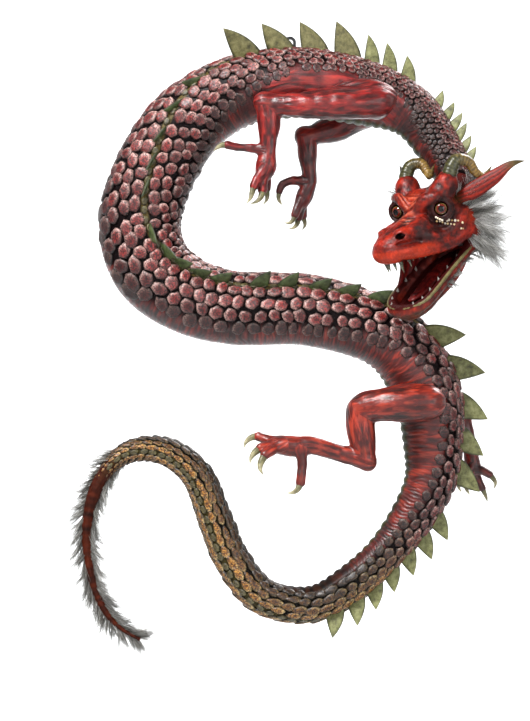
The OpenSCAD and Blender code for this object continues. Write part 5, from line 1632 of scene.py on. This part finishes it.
class DRAGON_OT_eyes(bpy.types.Operator):
    """The two glass eyes"""
    bl_idname = "dragon.eyes"
    bl_label = "Eyes"

    def execute(self, context):
        iris = context.scene.dragon_head.eye_colour
        # blown glass with the iris painted behind it
        material, shader, coords, node = new_material("painted_glass_eye", Roughness=0.08)
        ring = node("Attribute", attribute_name="place").outputs["Fac"]
        fibres = node("TexNoise", {"Vector": coords, "Scale": 1500, "Detail": 3.0})
        drift = node("Math", {0: fibres, 1: 0.5}, operation="SUBTRACT")
        shifted = node("Math", {0: ring, 1: node("Math", {0: drift, 1: 0.05}, **TIMES)}, operation="ADD")
        colour = node("ValToRGB", {"Fac": shifted}, [
            (0.0, "#020101"), (0.12, "#020101"), (0.15, "#3a0d06"), (0.2, "#5c1a0c"), (0.235, "#6b5a2c"), (0.26,
                "#1c0403"),
            (0.45, "#120202")])
        colour.color_ramp.elements[2].color = (*iris, 1)
        feed(shader, {"Base Color": colour})
        parts = []
        for side in (1, -1):
            gaze = GAZE[side]
            across = unit(np.cross(gaze, [0, 0, 1]))
            up = np.cross(across, gaze)
            polar = np.linspace(0, pi, 41)[1:-1]
            turn = np.linspace(0, 2 * pi, 48, endpoint=False)
            shell = np.cos(polar)[:, None, None] * gaze + np.sin(polar)[:, None, None] * (
                np.cos(turn)[None, :, None] * across + np.sin(turn)[None, :, None] * up)
            points = np.vstack([shell.reshape(-1, 3), [gaze, -gaze]]) * EYE_R + EYES[side]
            faces = [list(q) for q in grid_faces(39, 48)]
            n = 39 * 48
            faces += [[(i + 1) % 48, i, n] for i in range(48)] + [[38 * 48 + i, 38 * 48 + (i + 1) % 48, n + 1]
                for i in range(48)]
            place = np.concatenate([np.repeat(polar / pi, 48), [0, 1]])
            parts.append((points, faces, {"place": place}))
        head_piece("glass_eyes", parts, material, "eye", nodes=["eyes"])
        return {"FINISHED"}


HORNS = [
    [[-5, 10.8, 5, 3.9], [-8, 12.6, 9.5, 3.8], [-10, 13.8, 16, 3.5], [-13.5, 15.6, 20.2, 3], [-18.5, 17.8, 18, 2.5],
     [-21, 18.6, 12.6, 2.1], [-25, 19.4, 9.8, 1.5], [-30, 20.4, 13.2, 0.15]],
    [[-3, -10.4, 5, 3.9], [-4, -11.4, 10, 3.8], [-5.6, -12.2, 15.4, 3.4], [-8.4, -10.6, 19.6, 3.0],
        [-11.2, -6.6, 19.6, 2.5],
     [-11.4, -3.8, 15.6, 2.1], [-10.4, -1.2, 14.0, 1.5], [-11.2, 2.4, 19.2, 0.15]],
]
EARS = [
    [[-12, 11, 1.5, 2.4], [-14, 15.5, 3.2, 3.0], [-17.5, 19, 4.8, 4], [-25, 26.5, 9.2, 3.5], [-31, 32.5, 13.4, 1.7],
        [-36.2, 36.6, 13.7, 0.15]],
    [[-10, -11.5, 2, 2.2], [-12.5, -18.5, 8, 3.3], [-14.5, -23.8, 13, 2.7], [-17, -28.4, 18.4, 0.15]],
]


class DRAGON_OT_horns(bpy.types.Operator):
    """The ringed horns and the leathery ears"""
    bl_idname = "dragon.horns"
    bl_label = "Horns and ears"

    def execute(self, context):
        horn = horn_material("resin_horn", [(0.0, "#3c2a16"), (0.15, "#3f4024"), (0.4, "#4e4c28"), (0.62, "#8a6a2e"),
            (0.8, "#a8843c"), (1.0, "#5a5230")], 0.38, 9.0)

        def rings(t, a, r):
            twist = 2 * pi * t * 2.1 + 0.5 * np.sin(a)
            return r * (1 + 0.028 * smooth(0.6, 1.4, t) * np.cos(twist) + 0.02 * np.cos(5 * a + t))

        parts = []
        for rows in HORNS:
            points, faces, t, a = tube_points(rows, 24, 12, ref=UPRIGHT, groove=rings)
            parts.append((points, faces, {"place": t / (len(rows) - 1)}))
        head_piece("horn_pair", parts, horn, "horn", nodes=["horns"])
        skin = bpy.data.materials["painted_latex_face"]
        parts = []
        for rows in EARS:
            points, faces, t, a = tube_points(rows, 28, 12, ref=np.array([1.0, 0, 0]), flat=0.42,
                                              groove=lambda t, a, r: r * (1 - 0.3 * smooth(0.4, 1.4, t)
                                                  * np.maximum(np.sin(a), 0) ** 2 * (np.cos(a) ** 2 < 0.5)
                                                                          + 0.035 * np.cos(9 * a + 3 * t)))
            place = t / (len(rows) - 1)
            # painted shade and highlight: darker in the grooves between the ribs, lighter on the ribs
            rib = 0.5 + 0.5 * np.cos(9 * a + 3 * t)
            tint = mixed(srgb("#3c0806"), srgb("#94200f"), rib)
            tint = sprayed(tint, ("#4a4626", smooth(0.66, 0.86, place) * 0.9),
                           ("#35361c", smooth(0.22, 0.05, place) * 0.8))
            parts.append((points, faces, plain_values(points, tint)))
        head_piece("ear_pair", parts, skin, "ear", nodes=["ears"])
        return {"FINISHED"}


def tooth_part(root, toward, radius, length, bow=0.0):
    """One tooth: a tapering tube that bows backwards."""
    u = np.linspace(0, 1, 6)
    line = np.array(root, float) + np.outer(u * length, unit(toward))
    line[:, 0] -= bow * u ** 2
    row = np.hstack([line, (radius * (1 - u ** 1.5) + 0.06)[:, None]])
    points, faces, t, a = tube_points(row, 12, 3, ref=np.array([1.0, 0, 0.1]))
    return points, faces, {"place": t / 5}


class DRAGON_OT_teeth(bpy.types.Operator):
    """The fangs, the teeth of the lower jaw, and the tongue"""
    bl_idname = "dragon.teeth"
    bl_label = "Teeth and tongue"

    def execute(self, context):
        dark = horn_material("resin_fang", [(0.0, "#2a2a20"), (0.5, "#4b4c3c"), (1.0, "#8d8a70")], 0.25, 3.0)
        pale = horn_material("resin_tooth", [(0.0, "#5e5450"), (0.5, "#8d8580"), (1.0, "#b5aea6")], 0.28, 3.0)
        upper, lower = [], []
        for side in (1, -1):
            for f, l, size, long in ((25.4, 2.2, 1.2, 8.4), (24.0, 5.2, 1.35, 9.2), (20.6, 7.4, 1.1, 7.0)):
                upper.append(tooth_part((f, side * l, -15.6), (-0.08, 0, -1), size, long, 0.6))
            for i in range(6):
                upper.append(tooth_part((18.5 - 3.6 * i, side * (8.2 + 0.4 * i), -17.0), (0, 0, -1), 0.75,
                    3.2 - 0.15 * i, 0.3))
            for i in range(7):
                place = rows_at(JAW_RIM, [1.2 + 0.74 * i])[0]
                lower.append(tooth_part(place * (1, 0.84 * side, 1) + [0, 0, -1.6], (0.1, -0.2 * side, 1), 1.15, 3.6,
                    0.3))
        head_piece("upper_fangs", upper, dark, "tooth_dark", nodes=["upper_teeth"])
        head_piece("lower_tooth_row", lower, pale, "tooth", "lower_jaw", ["lower_teeth"])
        rows = [[-12, 0, -27.0, 3.2], [-5, 0, -29.4, 4.4], [3, 0, -33.2, 4.8], [10, 0, -36.8, 4.3], [16, 0, -38.6, 2.6]]
        points, faces, t, a = tube_points(rows, 32, 8, ref=UPRIGHT, flat=0.5,
                                          groove=lambda t, a, r: r * (1 - 0.18 * np.maximum(np.sin(a), 0) ** 8 + 0.02
                                              * np.sin(9 * t)))
        tint = blotched("#4a0b0d", "#8a2320", 0.5 + rough_noise(points / 1.6, 83))
        # wet latex
        wet = skin_material("wet_latex_tongue", 0.2, 0.8, (0.9, 0.9, 0.9), 0.4)
        head_piece("tongue_skin", [(points, faces, plain_values(points, tint))], wet, "tongue", "lower_jaw", ["tongue"])
        return {"FINISHED"}


class DRAGON_OT_hair(bpy.types.Operator):
    """The mane, the tufts of the chin, and the fringe of the tail"""
    bl_idname = "dragon.hair"
    bl_label = "Mane and tail hair"

    def execute(self, context):
        settings = context.scene.dragon_hair
        rng = np.random.default_rng(settings.seed)
        tree = strand_tree("strands", hair_material())

        def make(name, strands, body, *nodes):
            obj = grown(name, strand_mesh("strands", strands), tree, Thickness=settings.thickness, Sides=3)
            obj.data.polygons.foreach_set("use_smooth", np.ones(len(obj.data.polygons), bool))
            fasten(obj, body, "hair", *nodes)

        strands = []
        for _ in range(int(138 * settings.amount)):
            u = rng.uniform(0, 1)
            root = from_head([rng.uniform(-22, -13), rng.uniform(9.5, 13), -19 + 20 * u])
            fan = radians(-50 + 104 * u + rng.normal(0, 10))
            toward = np.array([cos(fan), rng.uniform(-0.5, 0.2), sin(fan)])
            pale = rng.random() < 0.4
            strands += tuft(rng, root, toward, rng.uniform(9, 26) * (1 - 0.25 * u), 22, 0.5, 0.36,
                (0.9 if pale else 0.42, 0.17), thick=0.11, sag=0.06)
        for _ in range(int(40 * settings.amount)):
            u = rng.uniform(0, 1)
            root = from_head([rng.uniform(-6, 1), -rng.uniform(11.5, 13.5), -11 + 19 * u])
            toward = np.array([-1.0 + rng.normal(0, 0.2), 0.2, 0.1 + 0.7 * u + rng.normal(0, 0.3)])
            strands += tuft(rng, root, toward, rng.uniform(6, 10), 20, 0.5, 0.25, (0.45, 0.2), thick=0.11, sag=0.05)
        make("mane_hair", strands, "head", "mane")

        strands = []
        for _ in range(int(26 * settings.amount)):
            side = rng.choice([1, -1])
            place = rows_at(JAW_RIM, [rng.uniform(0.2, 3.4)])[0] * (1, side, 1) + [0, 0, -3.2]
            toward = turned_from_head([-0.75 + rng.normal(0, 0.2), 0.25 * side, -0.5 + rng.normal(0, 0.2)])
            strands += tuft(rng, from_head(place), toward, rng.uniform(4, 8), 16, 0.45, 0.3, (0.5, 0.2), sag=0.08)
        make("chin_hair", strands, "lower_jaw")

        strands = []
        for side, low, high in ((1, 24.1, 28.9), (-1, 24.1, 28.9)):
            count = int(125 * settings.amount)
            for t in np.linspace(low, high, count) + rng.uniform(-0.03, 0.03, count):
                centre, r, dirs, across, front, _ = body_frame([min(t, 28.95)])
                out = side * across[0] + rng.normal(0, 0.22) * front[0]
                root = centre[0] + out * r[0] * 0.55
                grow = sin(pi * np.clip((t - low) / (high - low) * 0.85 + 0.08, 0, 1))
                lean = rng.uniform(1.2, 2.4)
                size = (8.0 + 6.5 * grow) * rng.uniform(0.75, 1.1)
                strands += tuft(rng, root, out + lean * dirs[0], size, 15, 0.5, 0.28, (0.42, 0.24), thick=0.13)
        make("tail_fringe", strands, "tail_end", "tail_hair")
        return {"FINISHED"}


class DRAGON_OT_frame_parts(bpy.types.Operator):
    """Finish of the hard parts that show between the soft ones"""
    bl_idname = "dragon.frame_parts"
    bl_label = "Spine and pins"

    def execute(self, context):
        # moulded nylon, fine matt grain
        nylon, shader, coords, node = new_material("moulded_nylon", Roughness=0.5)
        grain = node("TexNoise", {"Vector": coords, "Scale": 900, "Detail": 3.0})
        feed(shader, {"Base Color": node("ValToRGB", {"Fac": grain}, [(0.3, "#151517"), (0.7, "#26262a")]),
                      "Normal": node("Bump", {"Height": grain, "Strength": 0.2, "Distance": 0.0002})})
        # drawn steel wire, with its marks along the pin
        steel, shader, coords, node = new_material("drawn_steel", Roughness=0.3, Metallic=1.0)
        drawn = node("Mapping", {"Vector": coords, "Scale": (300, 3000, 300)})
        grain = node("TexNoise", {"Vector": drawn, "Scale": 1.0, "Detail": 3.0})
        feed(shader, {"Base Color": node("ValToRGB", {"Fac": grain}, [(0.3, "#8d8f93"), (0.7, "#b5b7bb")])})
        for name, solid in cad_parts.items():
            if not solid.hide_render:
                solid.data.materials.clear()
                solid.data.materials.append(steel if "pin" in name and "spine" not in name else nylon)
        return {"FINISHED"}


class DRAGON_OT_stage(bpy.types.Operator):
    """Paper sweep, softboxes and camera"""
    bl_idname = "dragon.stage"
    bl_label = "Stage"

    def execute(self, context):
        settings = context.scene.dragon_stage
        # white paper
        paper, shader, coords, node = new_material("studio_paper", Roughness=0.9)
        tooth = node("TexNoise", {"Vector": coords, "Scale": 40, "Detail": 2.0})
        low = [0.985 * c for c in settings.floor_colour]
        feed(shader, {"Base Color": node("Mix", {0: tooth, 6: low, 7: settings.floor_colour}, **BLEND)})
        floor, radius, high = -1.1, 6.0, 7.0
        ring = np.linspace(0, 2 * pi, 96, endpoint=False)
        profile = [(0.02, floor), (1, floor), (2.5, floor), (3.6, floor + 0.08), (4.6, floor + 0.5),
            (5.4, floor + 1.4), (radius, floor + 3), (radius, high)]
        points = [(r * cos(a) / MM, r * sin(a) / MM, z / MM) for r, z in profile for a in ring]
        faces = [list(q) for q in grid_faces(len(profile), 96)] + [list(range(95, -1, -1))]
        sweep = make_object("paper_sweep", make_mesh("paper_sweep", points, faces), paper)
        world = bpy.data.worlds.new("white_room")
        world.use_nodes = True
        background = world.node_tree.nodes["Background"]
        background.inputs["Color"].default_value = (1, 1, 1, 1)
        background.inputs["Strength"].default_value = settings.room_light
        context.scene.world = world
        context.scene.view_settings.view_transform = "Standard"
        # the last two lights only brighten the paper
        for name, place, toward, size, power in (
                ("key_softbox", (-0.7, -1.0, 1.1), (0, 0, -0.15), 0.5, settings.key_power),
                ("fill_softbox", (1.1, -1.3, 0.1), (0, 0, -0.15), 0.9, settings.key_power * 0.15),
                ("back_softbox", (0.8, 1.2, 1.1), (0, 0, -0.15), 0.6, settings.key_power * 0.5),
                ("background_light", (0, 2.0, 0.6), (0, 6.0, -0.2), 2.0, settings.background_power),
                ("front_paper_light", (0, -3.0, 0.6), (0, -6.0, -0.2), 2.0, settings.background_power * 0.3)):
            light = bpy.data.lights.new(name, "AREA")
            light.shape, light.size, light.energy = "DISK", size, power
            lamp = bpy.data.objects.new(name, light)
            context.scene.collection.objects.link(lamp)
            lamp.location = place
            lamp.visible_camera = False
            aim = Vector(toward) - Vector(place)
            lamp.rotation_euler = aim.to_track_quat("-Z", "Y").to_euler()
        lens = bpy.data.cameras.new("camera")
        lens.lens, lens.sensor_width = 200, 36
        camera = bpy.data.objects.new("camera", lens)
        context.scene.collection.objects.link(camera)
        camera.location = (-0.01184, -1.901, -0.1508)
        camera.rotation_euler = (pi / 2, 0, 0)
        context.scene.camera = camera
        return {"FINISHED"}


SETTINGS = {"dragon_body": DragonBody, "dragon_head": DragonHead, "dragon_hair": DragonHair,
    "dragon_stage": DragonStage}
STEPS = [
    DRAGON_OT_skin, DRAGON_OT_scales, DRAGON_OT_fins, DRAGON_OT_legs, DRAGON_OT_claws, DRAGON_OT_head, DRAGON_OT_jaw,
    DRAGON_OT_eyes, DRAGON_OT_horns, DRAGON_OT_teeth, DRAGON_OT_hair, DRAGON_OT_frame_parts, DRAGON_OT_stage,
]


class DRAGON_PT_panel(bpy.types.Panel):
    """The pieces of the dragon and their settings"""
    bl_idname = "DRAGON_PT_panel"
    bl_label = "Dragon"
    bl_space_type = "VIEW_3D"
    bl_region_type = "UI"
    bl_category = "Dragon"

    def draw(self, context):
        for step in STEPS:
            self.layout.operator(step.bl_idname)
        for name, group in SETTINGS.items():
            for setting in group.__annotations__:
                self.layout.prop(getattr(context.scene, name), setting)


def register():
    for cls in [*SETTINGS.values(), *STEPS, DRAGON_PT_panel]:
        bpy.utils.register_class(cls)
    for name, group in SETTINGS.items():
        setattr(bpy.types.Scene, name, bpy.props.PointerProperty(type=group))


def unregister():
    for name in SETTINGS:
        delattr(bpy.types.Scene, name)
    for cls in reversed([*SETTINGS.values(), *STEPS, DRAGON_PT_panel]):
        bpy.utils.unregister_class(cls)


def main():
    register()
    for step in STEPS:
        group, name = step.bl_idname.split(".")
        getattr(getattr(bpy.ops, group), name)()


if __name__ == "__main__":
    main()
